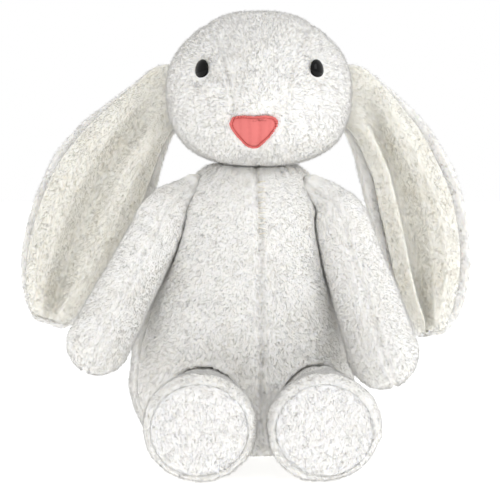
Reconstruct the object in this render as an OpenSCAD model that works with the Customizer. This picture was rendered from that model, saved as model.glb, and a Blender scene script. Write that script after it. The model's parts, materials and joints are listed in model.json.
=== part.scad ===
// Seated plush bunny with long drooping ears: sewn skin panels over stuffing, turning on soft joints.
// Millimetres, +Z up. The toy faces -Y, so its own left side is +X. The seat rests on z = 0.

/* [Skin] */
// Thickness of the knit backing with its short pile
skin = 3.5; // [2:0.1:5]
// Room between skin and stuffing
fill_gap = 0.3; // [0.1:0.05:0.6]
// Room round every ball that turns in its pocket
joint_gap = 0.5; // [0.3:0.05:1]
// Width of the sewn groove between two panels
seam_gap = 0.5; // [0.2:0.1:1]

/* [Torso] */
// Half-width of the torso at its widest
belly_half = 70; // [58:1:84]
// Front-to-back share of that width
belly_depth = 0.76; // [0.65:0.01:0.95]
// Height of the widest part over the seat
belly_z = 44; // [36:1:54]
// Radius of the flat part it sits on
seat_half = 46; // [36:1:56]
// Height of the top of the torso
torso_top = 168; // [148:1:168]
// Skin trimmed off under the seat to make it flat
seat_trim = 1; // [0.5:0.1:2]
// Radius of the flat top under the neck
torso_top_half = 20; // [17:1:24]
// How fast the torso narrows upward
torso_taper = 0.95; // [0.8:0.05:1.2]
// Side shift of the torso's own axis
torso_x = -4; // [-10:0.5:0]
// Fore-and-aft shift of the torso's own axis
torso_y = -10; // [-16:1:-4]
// Twist of the torso towards its own left
torso_turn = 6; // [0:1:12]
// How far the side seams lie in front of the widest line
side_seam = 14; // [0:1:20]

/* [Tail] */
// Radius of the round tail
tail_r = 17; // [12:1:24]
// Height of its middle
tail_z = 38; // [28:1:52]

/* [Neck] */
// Radius of the neck ball inside the head
neck_ball = 23; // [19:0.5:26]
// Extra height of the ball over the torso's top
neck_lift = 0.5; // [0.5:0.5:4]
// Radius of the neck under the ball
neck_stem = 14; // [10:0.5:16]
// Cord thickness of the gathered neck seam
gather_r = 2; // [1:0.1:3]

/* [Head] */
// Half-width of the head
head_half = 60; // [50:1:72]
// Height of the head over its widest line
head_up = 48; // [40:1:58]
// Depth of the head under its widest line
head_down = 47.5; // [40:0.5:56]
// Height of the widest line
head_z = 225; // [215:1:240]
// Reach of the back of the head
head_back = 62; // [50:1:74]
// Reach of the muzzle
head_front = 74; // [60:1:88]
// How far the muzzle tip drops below the widest line
muzzle_drop = 19; // [10:1:26]
// Fullness of the cheeks, 2 being a plain oval
cheek_full = 2.6; // [2:0.1:3.2]
// Half-width of the gusset over the crown
gusset_crown = 33; // [24:0.5:42]
// Half-width of the gusset at the nose
gusset_nose = 15; // [10:0.5:20]
// Half-width of the gusset at the nape
gusset_nape = 12; // [8:0.5:20]

/* [Face] */
// Radius of an eye's dome
eye_r = 6; // [4:0.25:9]
// Dome height as a share of its radius
eye_dome = 0.62; // [0.4:0.02:0.9]
// Distance of an eye from the middle
eye_x = 34; // [26:0.5:42]
// Height of the eyes
eye_z = 235; // [225:0.5:245]
// Turn of an eye to its side
eye_out = 38; // [30:1:60]
// How deep the base of the dome sits in the plush
eye_sink = 1; // [0:0.1:2]
// Lift of an eye's look
eye_lift = 24; // [0:1:30]
// Radius of the stem behind an eye
stem_r = 2.4; // [1.5:0.1:3.5]
// Length of that stem
stem_len = 13; // [9:0.5:18]
// Radius of the lock washer
washer_r = 6.5; // [6:0.25:11]
// Thickness of the lock washer
washer_t = 1.6; // [1:0.1:3]
// Room between stem and washer
washer_gap = 0.05; // [0.02:0.01:0.2]
// Width of the nose patch
nose_w = 29.5; // [22:0.5:40]
// Height of the nose patch
nose_h = 18; // [13:0.5:26]
// Height of its middle
nose_z = 197.5; // [190:0.5:208]
// Thickness of the nose patch
nose_t = 1.4; // [0.8:0.1:3]
// Corner radius of the nose patch
nose_round = 3.2; // [2:0.2:5]

/* [Ears] */
// Length of an ear along its middle line
ear_len = 168; // [140:1:210]
// Widest part of a laid-out ear
ear_w = 73; // [56:1:84]
// Radius of the ear root in its slit
ear_root = 20; // [14:0.5:24]
// Room round the ear root, for the start of its curl
ear_room = 3.5; // [2:0.25:5]
// Thickness of the back layer
ear_back_t = 4; // [2:0.1:6]
// Thickness of the lining layer
ear_lining_t = 3; // [2:0.1:5]
// Room between the two layers
ear_layer_gap = 0.5; // [0.3:0.05:0.8]
// Bend across the right ear, rim to rim
ear_curl_right = 62; // [40:1:150]
// Bend across the left ear, rim to rim
ear_curl_left = 128; // [40:1:150]
// Distance of the root from the middle
ear_x = 58; // [48:0.5:66]
// Fore-and-aft place of the root
ear_y = 20; // [8:1:28]
// Height of the root
ear_z = 222; // [210:1:235]
// Lean of the right ear from straight down at its root
ear_lean_right = 52; // [40:1:62]
// Lean of the left ear from straight down at its root
ear_lean_left = 56; // [40:1:66]
// How much of that lean is gone at the right tip
ear_droop_right = 34; // [20:1:50]
// How much of that lean is gone at the left tip
ear_droop_left = 52; // [30:1:62]

/* [Arms] */
// Radius of the shoulder ball
arm_ball = 18; // [14:0.5:22]
// Radius of the arm under the shoulder
arm_neck = 13; // [10:0.5:16]
// Radius of the right paw
paw_right = 18.5; // [14:0.5:24]
// Radius of the left paw
paw_left = 20; // [14:0.5:24]
// Shoulder to paw middle
arm_len = 100; // [80:1:120]
// Height of the shoulders
shoulder_z = 153; // [140:1:166]
// How far out the right shoulder stands over the torso's half-width just under it
shoulder_out_right = 9; // [8:0.5:14]
// How far out the left shoulder stands over that half-width
shoulder_out_left = 1; // [0.5:0.5:8]
// How far the shoulders lie behind the front of the belly
shoulder_back = 42.2; // [36:0.2:44]
// Spread of the right arm
arm_out_right = 27; // [16:1:38]
// Spread of the left arm
arm_out_left = 20; // [10:1:30]
// Forward lean of the arms
arm_fore = 22; // [8:1:30]

/* [Legs] */
// Radius of the hip ball
hip_ball = 29; // [25:0.5:32]
// Radius of the leg just past the hip
thigh = 21; // [17:0.5:25]
// Radius of the round sole
sole_r = 32.5; // [25:0.5:40]
// Hip middle to sole face
leg_len = 90.3; // [74:1:112]
// Bulge of the sole
sole_bulge = 7; // [3:0.5:11]
// Height of the hip middle
hip_z = 32.5; // [26:0.5:42]
// How far in front of the belly the leg comes out of its ball
hip_proud = 7.5; // [5:0.5:12]
// Distance of the right hip from the middle
hip_x_right = 34; // [27:0.5:42]
// Distance of the left hip from the middle
hip_x_left = 36; // [29:0.5:44]

/* [Hidden] */

PLUSH = [0.93, 0.92, 0.89];
LINING = [0.93, 0.90, 0.82];
STUFFING = [0.97, 0.97, 0.96];
EYE = [0.02, 0.02, 0.02];
NOSE = [0.90, 0.48, 0.47];
WASHER = [0.85, 0.85, 0.83];
THREAD = [0.88, 0.86, 0.80];

ROUND = 72;          // facets of a full turn
STEPS = 20;          // points along a body's outline
POLE = 0.6;          // radius left open at the pole of a sewn shell
HEAD_RINGS = 16;     // rings from nape to nose
HEAD_AROUND = 32;    // points round each ring
GUSSET_REACH = 0.96; // largest share of a ring's half-width the gusset may take
EAR_RINGS = 19;      // stations along an ear
ROOT_RINGS = 5;      // of which in its round root
ROOT_START = 0.5;    // first of them, in steps from the root's edge
EAR_ACROSS = 8;      // steps across an ear
DROOP_EARLY = 0.65;  // how early along its length an ear bends down
UNCURL = 0.35;       // share of the curl gone at the tip
EAR_BROAD = 0.45;    // share of its length where an ear is broadest
EAR_TIP = 1.015;     // share of its length where the tip would close
CURL_BY = 0.35;      // share of its length where the curl is complete
FLAT = 0.5;          // least bend across an ear
MUZZLE_BEND = 1.5;   // how late toward the nose the muzzle drops and the gusset narrows
NAPE_BEND = 2;       // how late toward the nape the gusset narrows
SIDE_STEPS = 12;     // steps round a side panel of the head
EAR_TAPER = 2.4;     // how full an ear stays toward its tip
LEG_FLARE = 1.5;     // how late along the leg it widens to the sole
LEG_SWEEP = 140;     // turn over which the leg's outline points are spread, closest at the ball
NOSE_LIFT = 1 / 8;   // room under the nose patch as a share of its thickness
NECK_BACK = 0.5;     // place of the neck as a share of the torso's own shift
FINE = ROUND / 3;    // facets of a full turn on a small round part
inset_all = skin + fill_gap;

// ---- outlines: lists of [radius, height] from the lower pole to the upper one ----

// Unit direction of the outline at point i.
function heading(pts, i) =
    let (a = pts[max(i - 1, 0)], b = pts[min(i + 1, len(pts) - 1)])
    (b - a) / norm(b - a);

// The outline moved inward by w along its own normals, kept within its own height.
function inset(pts, w) = [
    for (i = [0 : len(pts) - 1])
        let (t = heading(pts, i), z = pts[i][1] + w * t[0])
        [max(pts[i][0] - w * t[1], POLE), min(max(z, pts[0][1]), pts[len(pts) - 1][1])]
];

function backward(pts) = [for (i = [len(pts) - 1 : -1 : 0]) pts[i]];
function shell_outline(pts, w) = concat(pts, backward(inset(pts, w)));
function solid_outline(pts) = concat([[0, pts[0][1]]], pts, [[0, pts[len(pts) - 1][1]]]);

// Stuffed body: the outline turned right round, in two halves.
module half_plump(pts, from, depth = 1)
    scale([1, depth, 1])
        rotate_extrude(angle = 180, start = from, $fn = ROUND)
            polygon(solid_outline(pts));

module plump(pts, depth = 1) for (from = [0, 180]) half_plump(pts, from, depth);

// One sewn panel between two angles, a seam's width short at both sides.
module panel(pts, from, to, widest, depth = 1) {
    trim = seam_gap / 2 / widest * 180 / PI;
    scale([1, depth, 1])
        rotate_extrude(angle = to - from - 2 * trim, start = from + trim, $fn = ROUND)
            polygon(shell_outline(pts, skin));
}

// ---- torso ----

belly_span = torso_top - belly_z;
belly_front = torso_y - belly_half * belly_depth;

function torso_radius(z) = z < belly_z
    ? seat_half + (belly_half - seat_half) * sqrt(1 - pow((belly_z - z) / (belly_z + seat_trim), 2))
    : torso_top_half + (belly_half - torso_top_half)
        * sqrt(max(0, 1 - pow((z - belly_z) / belly_span, torso_taper)));

function torso_height(u) = (torso_top + seat_trim) * (1 - cos(180 * u)) / 2 - seat_trim;

torso_pts = concat(
    [[POLE, -seat_trim]],
    [for (i = [0 : STEPS]) let (z = torso_height(i / STEPS)) [torso_radius(z), z]],
    [[POLE, torso_top]]
);

module place_torso() translate([torso_x, torso_y, 0]) rotate([0, 0, torso_turn]) children();

// Pockets for the two shoulder balls and the two hip balls, each ball's poles pointing out of the torso.
module torso_pockets() {
    for (side = [-1, 1]) {
        translate(shoulder(side)) rotate([0, 90, 0]) sphere(r = arm_ball + joint_gap, $fn = ROUND);
        translate(hip(side)) rotate([90, 0, 0]) sphere(r = hip_ball + joint_gap, $fn = ROUND);
    }
}

// Everything under the seat plane.
module below_seat()
    translate([-belly_half, -belly_half, -belly_z])
        cube([2 * belly_half, 2 * belly_half, belly_z]);

module torso_panel(from, to) color(PLUSH) difference() {
    place_torso() panel(torso_pts, from, to, belly_half, belly_depth);
    torso_pockets();
    below_seat();
}

module torso_front_left() torso_panel(-90, -side_seam);
module torso_front_right() torso_panel(side_seam - 180, -90);
module torso_back() torso_panel(-side_seam, 180 + side_seam);

module torso_stuffing() color(STUFFING) for (from = [90, 270]) difference() {
    place_torso() half_plump(inset(torso_pts, inset_all), from, belly_depth);
    torso_pockets();
}

// ---- tail ----

tail_y = belly_half * belly_depth + fill_gap;

module place_tail() place_torso() translate([0, tail_y, tail_z]) rotate([-90, 0, 0]) children();

// Half a ball whose flat side faces the torso.
module half_ball(r) rotate_extrude($fn = ROUND) intersection() {
    circle(r = r, $fn = ROUND);
    square(r);
}

module tail_skin() color(PLUSH) place_tail() difference() {
    half_ball(tail_r);
    half_ball(tail_r - skin);
}

module tail_stuffing() color(STUFFING) place_tail() half_ball(tail_r - inset_all);

// ---- neck ----

neck_foot = torso_top + joint_gap;
neck_z = neck_foot + neck_ball + neck_lift;
neck_at = [0, torso_y * NECK_BACK, neck_z];

module neck_core() color(PLUSH) translate([neck_at[0], neck_at[1], 0]) {
    translate([0, 0, neck_z]) sphere(r = neck_ball, $fn = ROUND);
    translate([0, 0, neck_foot]) cylinder(r = neck_stem, h = neck_z - neck_foot, $fn = ROUND);
}

module neck_gather() color(THREAD)
    translate([neck_at[0], neck_at[1], neck_foot + gather_r])
        rotate_extrude($fn = ROUND)
            translate([neck_stem + gather_r + washer_gap, 0])
                circle(r = gather_r, $fn = FINE);

// ---- head: rings from nape to nose, each an oval with fuller cheeks below ----

function head_y(v) = v < 0.5 ? head_back * cos(180 * v) : head_front * cos(180 * v);
function head_fore(v) = v < 0.5 ? 0 : -cos(180 * v);
function head_swell(v) = sin(180 * v);
function head_mid(v) = head_z - muzzle_drop * pow(head_fore(v), MUZZLE_BEND);
function signed_pow(s, p) = sign(s) * pow(abs(s), p);

// Point of ring v at angle u, on the surface moved inward by w.
function head_point(v, u, w) =
    let (
        s = head_swell(v),
        full = u > 180 ? 2 / cheek_full : 1,
        tall = u > 180 ? head_down : head_up,
        shrink = head_half - w
    )
    [
        shrink * s * signed_pow(cos(u), full),
        head_y(v) * (1 - w / head_back),
        head_mid(v) + (tall - w) * s * signed_pow(sin(u), full)
    ];

// Ring positions, closer together near nape and nose.
function ring_at(i) = (i + 0.5) / (HEAD_RINGS + 1);

// Faces of a tube of rings, each ring with n points, closed round and capped.
function tube_faces(rings, n) = concat(
    [[for (j = [0 : n - 1]) j]],
    [for (i = [0 : rings - 2], j = [0 : n - 1])
        let (a = i * n + j, b = i * n + (j + 1) % n)
        [a, a + n, b + n, b]],
    [[for (j = [n - 1 : -1 : 0]) (rings - 1) * n + j]]
);

module head_body(w) {
    pts = [for (i = [0 : HEAD_RINGS], j = [0 : HEAD_AROUND - 1])
        head_point(ring_at(i), 360 * j / HEAD_AROUND, w)];
    polyhedron(pts, tube_faces(HEAD_RINGS + 1, HEAD_AROUND), convexity = 4);
}

// Half-width of the gusset at ring v, and its half-angle there.
function gusset_width(v) = v < 0.5
    ? gusset_crown + (gusset_nape - gusset_crown) * pow(cos(180 * v), NAPE_BEND)
    : gusset_crown + (gusset_nose - gusset_crown) * pow(head_fore(v), MUZZLE_BEND);
function gusset_at(v) = asin(min(GUSSET_REACH, gusset_width(v) / (head_half * head_swell(v))));

// A strip of head skin between two angles that may vary from ring to ring.
module head_panel(from_crown, to_crown, from_chin, to_chin, steps) {
    span = steps + 1;
    pts = [for (i = [0 : HEAD_RINGS], k = [0, 1], j = [0 : steps])
        let (
            v = ring_at(i),
            g = gusset_at(v),
            lo = from_crown * g + from_chin,
            hi = to_crown * g + to_chin,
            trim = seam_gap / head_half * 90 / PI,
            f = k == 0 ? j / steps : 1 - j / steps,
            u = lo + trim + (hi - lo - 2 * trim) * f
        )
        head_point(v, (u + 360) % 360, k * skin)];
    polyhedron(pts, tube_faces(HEAD_RINGS + 1, 2 * span), convexity = 6);
}

// The neck pocket, the two ear slits and the two eye holes.
module head_pockets() {
    translate(neck_at) sphere(r = neck_ball + joint_gap, $fn = ROUND);
    for (side = [-1, 1]) {
        ear_slit(side);
        place_eye(side) {
            translate([0, 0, -stem_len]) cylinder(r = stem_r, h = stem_len, $fn = FINE);
            translate([0, 0, -eye_sink - washer_gap]) cylinder(r = eye_r + fill_gap, h = eye_r, $fn = ROUND);
        }
    }
}

module head_gusset() color(PLUSH) difference() {
    head_panel(-1, 1, 90, 90, HEAD_AROUND / 4);
    head_pockets();
}

module head_side_left() color(PLUSH) difference() {
    head_panel(0, -1, -90, 90, SIDE_STEPS);
    head_pockets();
}

module head_side_right() color(PLUSH) difference() {
    head_panel(1, 0, 90, 270, SIDE_STEPS);
    head_pockets();
}

module head_stuffing() color(STUFFING) difference() {
    head_body(inset_all);
    head_pockets();
    for (side = [-1, 1])
        place_eye(side) translate([0, 0, -stem_len - fill_gap])
            cylinder(r = washer_r + fill_gap, h = stem_len, $fn = FINE);
}

// ---- face ----

// Ring found by halving whose front point has the wanted x and z; u is its angle there.
function on_head(x, z, v, step) = step < 0.0005 ? v :
    let (
        dz = z - head_mid(v),
        tall = dz > 0 ? head_up : head_down,
        full = dz > 0 ? 2 : cheek_full,
        reach = pow(abs(x) / head_half, full) + pow(abs(dz) / tall, full)
    )
    on_head(x, z, v + (reach < pow(head_swell(v), full) ? step : -step), step / 2);

eye_y = head_y(on_head(eye_x, eye_z, 0.75, 0.125));
module place_eye(side)
    translate([side * eye_x, eye_y, eye_z])
        rotate([90 - eye_lift, 0, side * eye_out]) children();

// Dome outline from its rim to its crown, closed along its flat base.
eye_pts = concat(
    [[0, 0]],
    [for (i = [0 : STEPS]) let (a = 90 * i / STEPS) [eye_r * cos(a), eye_r * eye_dome * sin(a)]]
);

module eye(side) color(EYE) place_eye(side) {
    translate([0, 0, -eye_sink]) rotate_extrude($fn = ROUND) polygon(eye_pts);
    translate([0, 0, -stem_len]) cylinder(r = stem_r - washer_gap, h = stem_len - eye_sink, $fn = FINE);
}

module eye_left() eye(1);
module eye_right() eye(-1);

module eye_washer(side) color(WASHER) place_eye(side)
    translate([0, 0, -skin * 2 - washer_t]) difference() {
        cylinder(r = washer_r, h = washer_t, $fn = ROUND);
        translate([0, 0, -washer_t]) cylinder(r = stem_r, h = 3 * washer_t, $fn = FINE);
    }

module eye_washer_left() eye_washer(1);
module eye_washer_right() eye_washer(-1);

module nose_shape() hull() {
    for (side = [-1, 1])
        translate([side * (nose_w / 2 - nose_round), nose_h / 2 - nose_round]) circle(r = nose_round, $fn = FINE);
    translate([0, nose_round - nose_h / 2]) circle(r = nose_round, $fn = FINE);
}

module nose_patch() color(NOSE) intersection() {
    difference() {
        head_body(-nose_t);
        head_body(-nose_t * NOSE_LIFT);
    }
    translate([0, 0, nose_z]) rotate([90, 0, 0]) linear_extrude(height = head_front * 2) nose_shape();
}

// ---- ears: a round root that turns in its slit, then a long pad curled forward ----

function ear_lean(side) = side > 0 ? ear_lean_left : ear_lean_right;
function ear_droop(side) = side > 0 ? ear_droop_left : ear_droop_right;
function ear_curl(side) = side > 0 ? ear_curl_left : ear_curl_right;

// Distance of station n from the root's middle, and half-width there.
function ear_along(n) = n < ROOT_RINGS
    ? -ear_root * cos(90 * (n + ROOT_START) / (ROOT_RINGS + ROOT_START))
    : ear_len * (n - ROOT_RINGS) / (EAR_RINGS - ROOT_RINGS);

function ear_half(x) =
    let (t = x / ear_len, wide = ear_w / 2)
    x < 0 ? sqrt(ear_root * ear_root - x * x)
    : t < EAR_BROAD ? ear_root + (wide - ear_root) * (1 - cos(180 * t / EAR_BROAD)) / 2
    : wide * sqrt(1 - pow((t - EAR_BROAD) / (EAR_TIP - EAR_BROAD), EAR_TAPER));

// Lean of the ear at distance x, and its middle line summed from those leans.
function lean_at(side, x) = ear_lean(side) - ear_droop(side) * pow(sin(90 * max(0, x) / ear_len), DROOP_EARLY);
function ear_way(a) = [sin(a), -cos(a)];
function ear_mid(side, n) = n <= ROOT_RINGS
    ? ear_along(n) * ear_way(ear_lean(side))
    : let (x0 = ear_along(n - 1), x1 = ear_along(n))
        ear_mid(side, n - 1) + (x1 - x0) * ear_way(lean_at(side, (x0 + x1) / 2));

// Curl across the ear: flat in the slit, folded lower down.
function curl_at(side, x) =
    max(FLAT, ear_curl(side) * min(1, max(0, x) / (ear_len * CURL_BY)) * (1 - UNCURL * x / ear_len));

// Point across the ear: s from -1 at the inner rim to 1 at the outer rim, depth d from its back face.
function ear_point(side, n, s, d) =
    let (
        x = ear_along(n),
        a = lean_at(side, x),
        half = ear_half(x),
        c = curl_at(side, x),
        r = half * 360 / PI / c,
        w = (r - d) * sin(s * c / 2),
        f = r - (r - d) * cos(s * c / 2),
        m = ear_mid(side, n)
    )
    [
        side * (ear_x + m[0] + w * cos(a)),
        ear_y + ear_back_t - f,
        ear_z + m[1] + w * sin(a)
    ];

module ear_layer(side, d0, d1) {
    pts = [for (n = [0 : EAR_RINGS], k = [0, 1], j = [0 : EAR_ACROSS])
        ear_point(side, n, (1 - 2 * j / EAR_ACROSS) * (k == 0 ? 1 : -1), k == 0 ? d0 : d1)];
    faces = tube_faces(EAR_RINGS + 1, 2 * (EAR_ACROSS + 1));
    polyhedron(pts, side > 0 ? faces : [for (f = faces) backward(f)], convexity = 6);
}

ear_inner = ear_back_t + ear_layer_gap;

module ear_slit(side)
    translate([side * ear_x, ear_y + ear_back_t + joint_gap, ear_z])
        rotate([90, 0, 0])
            cylinder(r = ear_root + ear_room, h = ear_inner + ear_lining_t + 2 * joint_gap + ear_room, $fn = ROUND);

module ear_back(side) color(PLUSH) ear_layer(side, 0, ear_back_t);
module ear_lining(side) color(LINING) ear_layer(side, ear_inner, ear_inner + ear_lining_t);

module ear_left_back() ear_back(1);
module ear_left_lining() ear_lining(1);
module ear_right_back() ear_back(-1);
module ear_right_lining() ear_lining(-1);

// ---- arms ----

shoulder_wide = torso_radius(shoulder_z - arm_ball);
function shoulder_out(side) = side > 0 ? shoulder_out_left : shoulder_out_right;
function shoulder(side) = [side * (shoulder_wide + shoulder_out(side)), belly_front + shoulder_back, shoulder_z];
function arm_out(side) = side > 0 ? arm_out_left : arm_out_right;
function paw(side) = side > 0 ? paw_left : paw_right;

// Radius at distance d down the arm: shoulder ball, sleeve, round paw.
function arm_radius(side, d) =
    let (
        p = paw(side),
        f = min(1, max(0, d / arm_len)),
        sleeve = arm_neck + (p - arm_neck) * (1 - cos(180 * f)) / 2,
        ball = sqrt(max(0, arm_ball * arm_ball - d * d)),
        tip = d > arm_len ? sqrt(max(0, p * p - pow(d - arm_len, 2))) : p
    )
    d < 0 ? ball : d > arm_len ? tip : max(ball, sleeve);

function arm_pts(side) = [for (i = [0 : STEPS])
    let (
        total = arm_ball + arm_len + paw(side),
        down = arm_len + paw(side) - total * (1 - cos(180 * i / STEPS)) / 2
    )
    [max(POLE, arm_radius(side, down)), -down]];

module place_arm(side) translate(shoulder(side)) rotate([-arm_fore, 0, 0]) rotate([0, -side * arm_out(side), 0])
    children();

module arm_panel(side, from) color(PLUSH) place_arm(side)
    panel(arm_pts(side), from, from + 180, paw(side));

module arm_stuffing(side) color(STUFFING) place_arm(side) plump(inset(arm_pts(side), inset_all));

module arm_left_outer() arm_panel(1, -90);
module arm_left_inner() arm_panel(1, 90);
module arm_left_stuffing() arm_stuffing(1);
module arm_right_outer() arm_panel(-1, 90);
module arm_right_inner() arm_panel(-1, -90);
module arm_right_stuffing() arm_stuffing(-1);

// ---- legs: outline runs from the hip ball forward to the sole ----

// Distance from the hip at which the leg comes out of its ball.
hip_reach = sqrt(max(0, hip_ball * hip_ball - thigh * thigh));
function hip(side) = [side * (side > 0 ? hip_x_left : hip_x_right), belly_front - hip_proud + hip_reach, hip_z];

rim_at = leg_len - sole_bulge - seam_gap;

function leg_radius(d) =
    let (f = min(1, max(0, d / rim_at)))
    max(sqrt(max(0, hip_ball * hip_ball - d * d)), d < 0 ? 0 : thigh + (sole_r - thigh) * pow(f, LEG_FLARE));

leg_pts = [for (i = [0 : STEPS])
    let (d = -hip_ball + (hip_ball + rim_at) * (1 - cos(LEG_SWEEP * i / STEPS)) / (1 - cos(LEG_SWEEP)))
    [max(POLE, leg_radius(d)), d]];

sole_pts = [for (i = [0 : STEPS / 2])
    let (a = 180 * i / STEPS)
    [max(POLE, sole_r * cos(a)), rim_at + seam_gap + sole_bulge * sin(a)]];

module place_leg(side) translate(hip(side)) rotate([90, 0, 0]) children();

module leg_panel(side, from) color(PLUSH) place_leg(side) panel(leg_pts, from, from + 180, sole_r);

module leg_sole(side) color(PLUSH) place_leg(side)
    for (from = [0, 180])
        rotate_extrude(angle = 180, start = from, $fn = ROUND)
            polygon(concat([[0, rim_at + seam_gap]], sole_pts, [[0, sole_pts[len(sole_pts) - 1][1]]]));

// The stuffing ends flat, just short of the sole.
module leg_stuffing(side) color(STUFFING) place_leg(side) plump(inset(leg_pts, inset_all));

module leg_left_outer() leg_panel(1, -90);
module leg_left_inner() leg_panel(1, 90);
module leg_left_sole() leg_sole(1);
module leg_left_stuffing() leg_stuffing(1);
module leg_right_outer() leg_panel(-1, 90);
module leg_right_inner() leg_panel(-1, -90);
module leg_right_sole() leg_sole(-1);
module leg_right_stuffing() leg_stuffing(-1);

torso_front_left();
torso_front_right();
torso_back();
torso_stuffing();
tail_skin();
tail_stuffing();
neck_core();
neck_gather();
head_gusset();
head_side_left();
head_side_right();
head_stuffing();
nose_patch();
eye_left();
eye_right();
eye_washer_left();
eye_washer_right();
ear_left_back();
ear_left_lining();
ear_right_back();
ear_right_lining();
arm_left_outer();
arm_left_inner();
arm_left_stuffing();
arm_right_outer();
arm_right_inner();
arm_right_stuffing();
leg_left_outer();
leg_left_inner();
leg_left_sole();
leg_left_stuffing();
leg_right_outer();
leg_right_inner();
leg_right_sole();
leg_right_stuffing();
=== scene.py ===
"""Looks of a seated plush rabbit with long drooping ears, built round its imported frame."""

import json
import logging
import math
from collections.abc import Callable
from dataclasses import dataclass, field, replace
from enum import Enum

import bpy
import numpy as np
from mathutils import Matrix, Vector
from mathutils.bvhtree import BVHTree


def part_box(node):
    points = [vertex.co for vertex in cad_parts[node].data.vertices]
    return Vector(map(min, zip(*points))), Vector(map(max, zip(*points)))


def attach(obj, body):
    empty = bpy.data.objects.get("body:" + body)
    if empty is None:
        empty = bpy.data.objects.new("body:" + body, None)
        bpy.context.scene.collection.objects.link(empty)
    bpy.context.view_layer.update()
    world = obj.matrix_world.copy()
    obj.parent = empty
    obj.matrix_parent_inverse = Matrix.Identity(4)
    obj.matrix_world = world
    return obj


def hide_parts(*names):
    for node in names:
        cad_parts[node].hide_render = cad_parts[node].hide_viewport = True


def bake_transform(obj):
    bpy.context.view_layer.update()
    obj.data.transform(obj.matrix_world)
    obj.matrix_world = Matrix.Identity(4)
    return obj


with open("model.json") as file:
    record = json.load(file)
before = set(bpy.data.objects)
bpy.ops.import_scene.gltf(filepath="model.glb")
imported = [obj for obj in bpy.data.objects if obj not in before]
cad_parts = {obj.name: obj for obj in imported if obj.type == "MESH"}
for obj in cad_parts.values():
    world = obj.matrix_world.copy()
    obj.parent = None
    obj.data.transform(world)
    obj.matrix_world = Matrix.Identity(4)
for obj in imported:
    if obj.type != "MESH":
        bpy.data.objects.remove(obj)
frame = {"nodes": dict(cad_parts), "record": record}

LOG = logging.getLogger("rabbit")
MM = 0.001
CLOTH_FRAMES = 20
CLOTH_PRESSURE = 4.0
CLOTH_QUALITY = 5
CLOTH_MASS = 0.25
PIN_LEAST = 0.02  # weight under which a point of the cloth counts as free
FAR = 99.0  # mm, stands for no seam nearby
POLE = 0.3  # mm, least radius of a stuffed shape before its end point
FULL_TURN = 2 * math.pi
Array = np.ndarray


class Side(Enum):
    """The toy's own left and right, with the sign of X there."""

    LEFT = ("left", 1.0)
    RIGHT = ("right", -1.0)

    @property
    def word(self) -> str:
        """The side as it stands in node names."""
        return self.value[0]

    @property
    def sign(self) -> float:
        """Sign of X on this side."""
        return self.value[1]


class Pile(Enum):
    """Kinds of pile: length, radius at the root and spacing in mm, then how far the fibres lie down."""

    LONG = (2.0, 0.18, 0.78, 1.05)
    SHORT = (1.5, 0.18, 0.82, 1.1)


# ---------------------------------------------------------------------------
# arithmetic on points
# ---------------------------------------------------------------------------


def unit(v: Array) -> Array:
    """Rows of v at length one."""
    return v / np.maximum(np.linalg.norm(v, axis=-1, keepdims=True), 1e-9)


def smooth(x: Array, low: float, high: float) -> Array:
    """Smooth step of x from 0 at low to 1 at high."""
    t = np.clip((x - low) / (high - low), 0.0, 1.0)
    return t * t * (3.0 - 2.0 * t)


def bump(x: Array, middle: float, width: float) -> Array:
    """Bell of height one round middle."""
    return np.exp(-(((x - middle) / width) ** 2))


def round_angles(count: int) -> Array:
    """Evenly spread angles of a full turn."""
    return np.arange(count) * FULL_TURN / count


def signed_power(x: Array, p: float) -> Array:
    """Power of the size of x, with the sign of x."""
    return np.sign(x) * np.abs(x) ** p


def lattice_hash(cells: Array, seed: int) -> Array:
    """Repeatable numbers from -1 to 1 for whole-number cells.

    Args:
        cells: whole-number cell coordinates, one row each.
        seed: picks another set of numbers.

    Returns:
        One number per row.
    """
    c = cells.astype(np.int64)
    h = c[..., 0] * 73856093 ^ c[..., 1] * 19349663 ^ c[..., 2] * 83492791 ^ seed * 2654435761
    h = (h ^ (h >> 13)) * 1274126177 & 0x7FFFFFFF
    h = (h ^ (h >> 16)) & 0xFFFFFF
    return h / float(0x7FFFFF) - 1.0


def noise(points: Array, cell: float, seed: int) -> Array:
    """Smooth noise from about -1 to 1.

    Args:
        points: places in mm, one row each.
        cell: size of a cell in mm.
        seed: picks another pattern.

    Returns:
        One value per place.
    """
    p = points / cell
    base = np.floor(p)
    f = p - base
    f = f * f * (3.0 - 2.0 * f)
    total = np.zeros(len(points))
    for corner in range(8):
        step = np.array([corner & 1, corner >> 1 & 1, corner >> 2 & 1])
        weight = np.prod(np.where(step, f, 1.0 - f), axis=1)
        total += weight * lattice_hash(base + step, seed)
    return total


def catmull(points: Array, count: int) -> Array:
    """Smooth line through points.

    Args:
        points: the points it passes, one row each.
        count: how many points the line gets.

    Returns:
        The line's points, evenly spread over the spans.
    """
    ends = np.vstack([2 * points[0] - points[1], points, 2 * points[-1] - points[-2]])
    out = []
    for t in np.linspace(0, len(points) - 1, count):
        i = min(int(t), len(points) - 2)
        f = t - i
        a, b, c, d = ends[i : i + 4]
        out.append(0.5 * (2 * b + (c - a) * f + (2 * a - 5 * b + 4 * c - d) * f**2
                          + (3 * b - a - 3 * c + d) * f**3))
    return np.array(out)


# ---------------------------------------------------------------------------
# meshes
# ---------------------------------------------------------------------------


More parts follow.
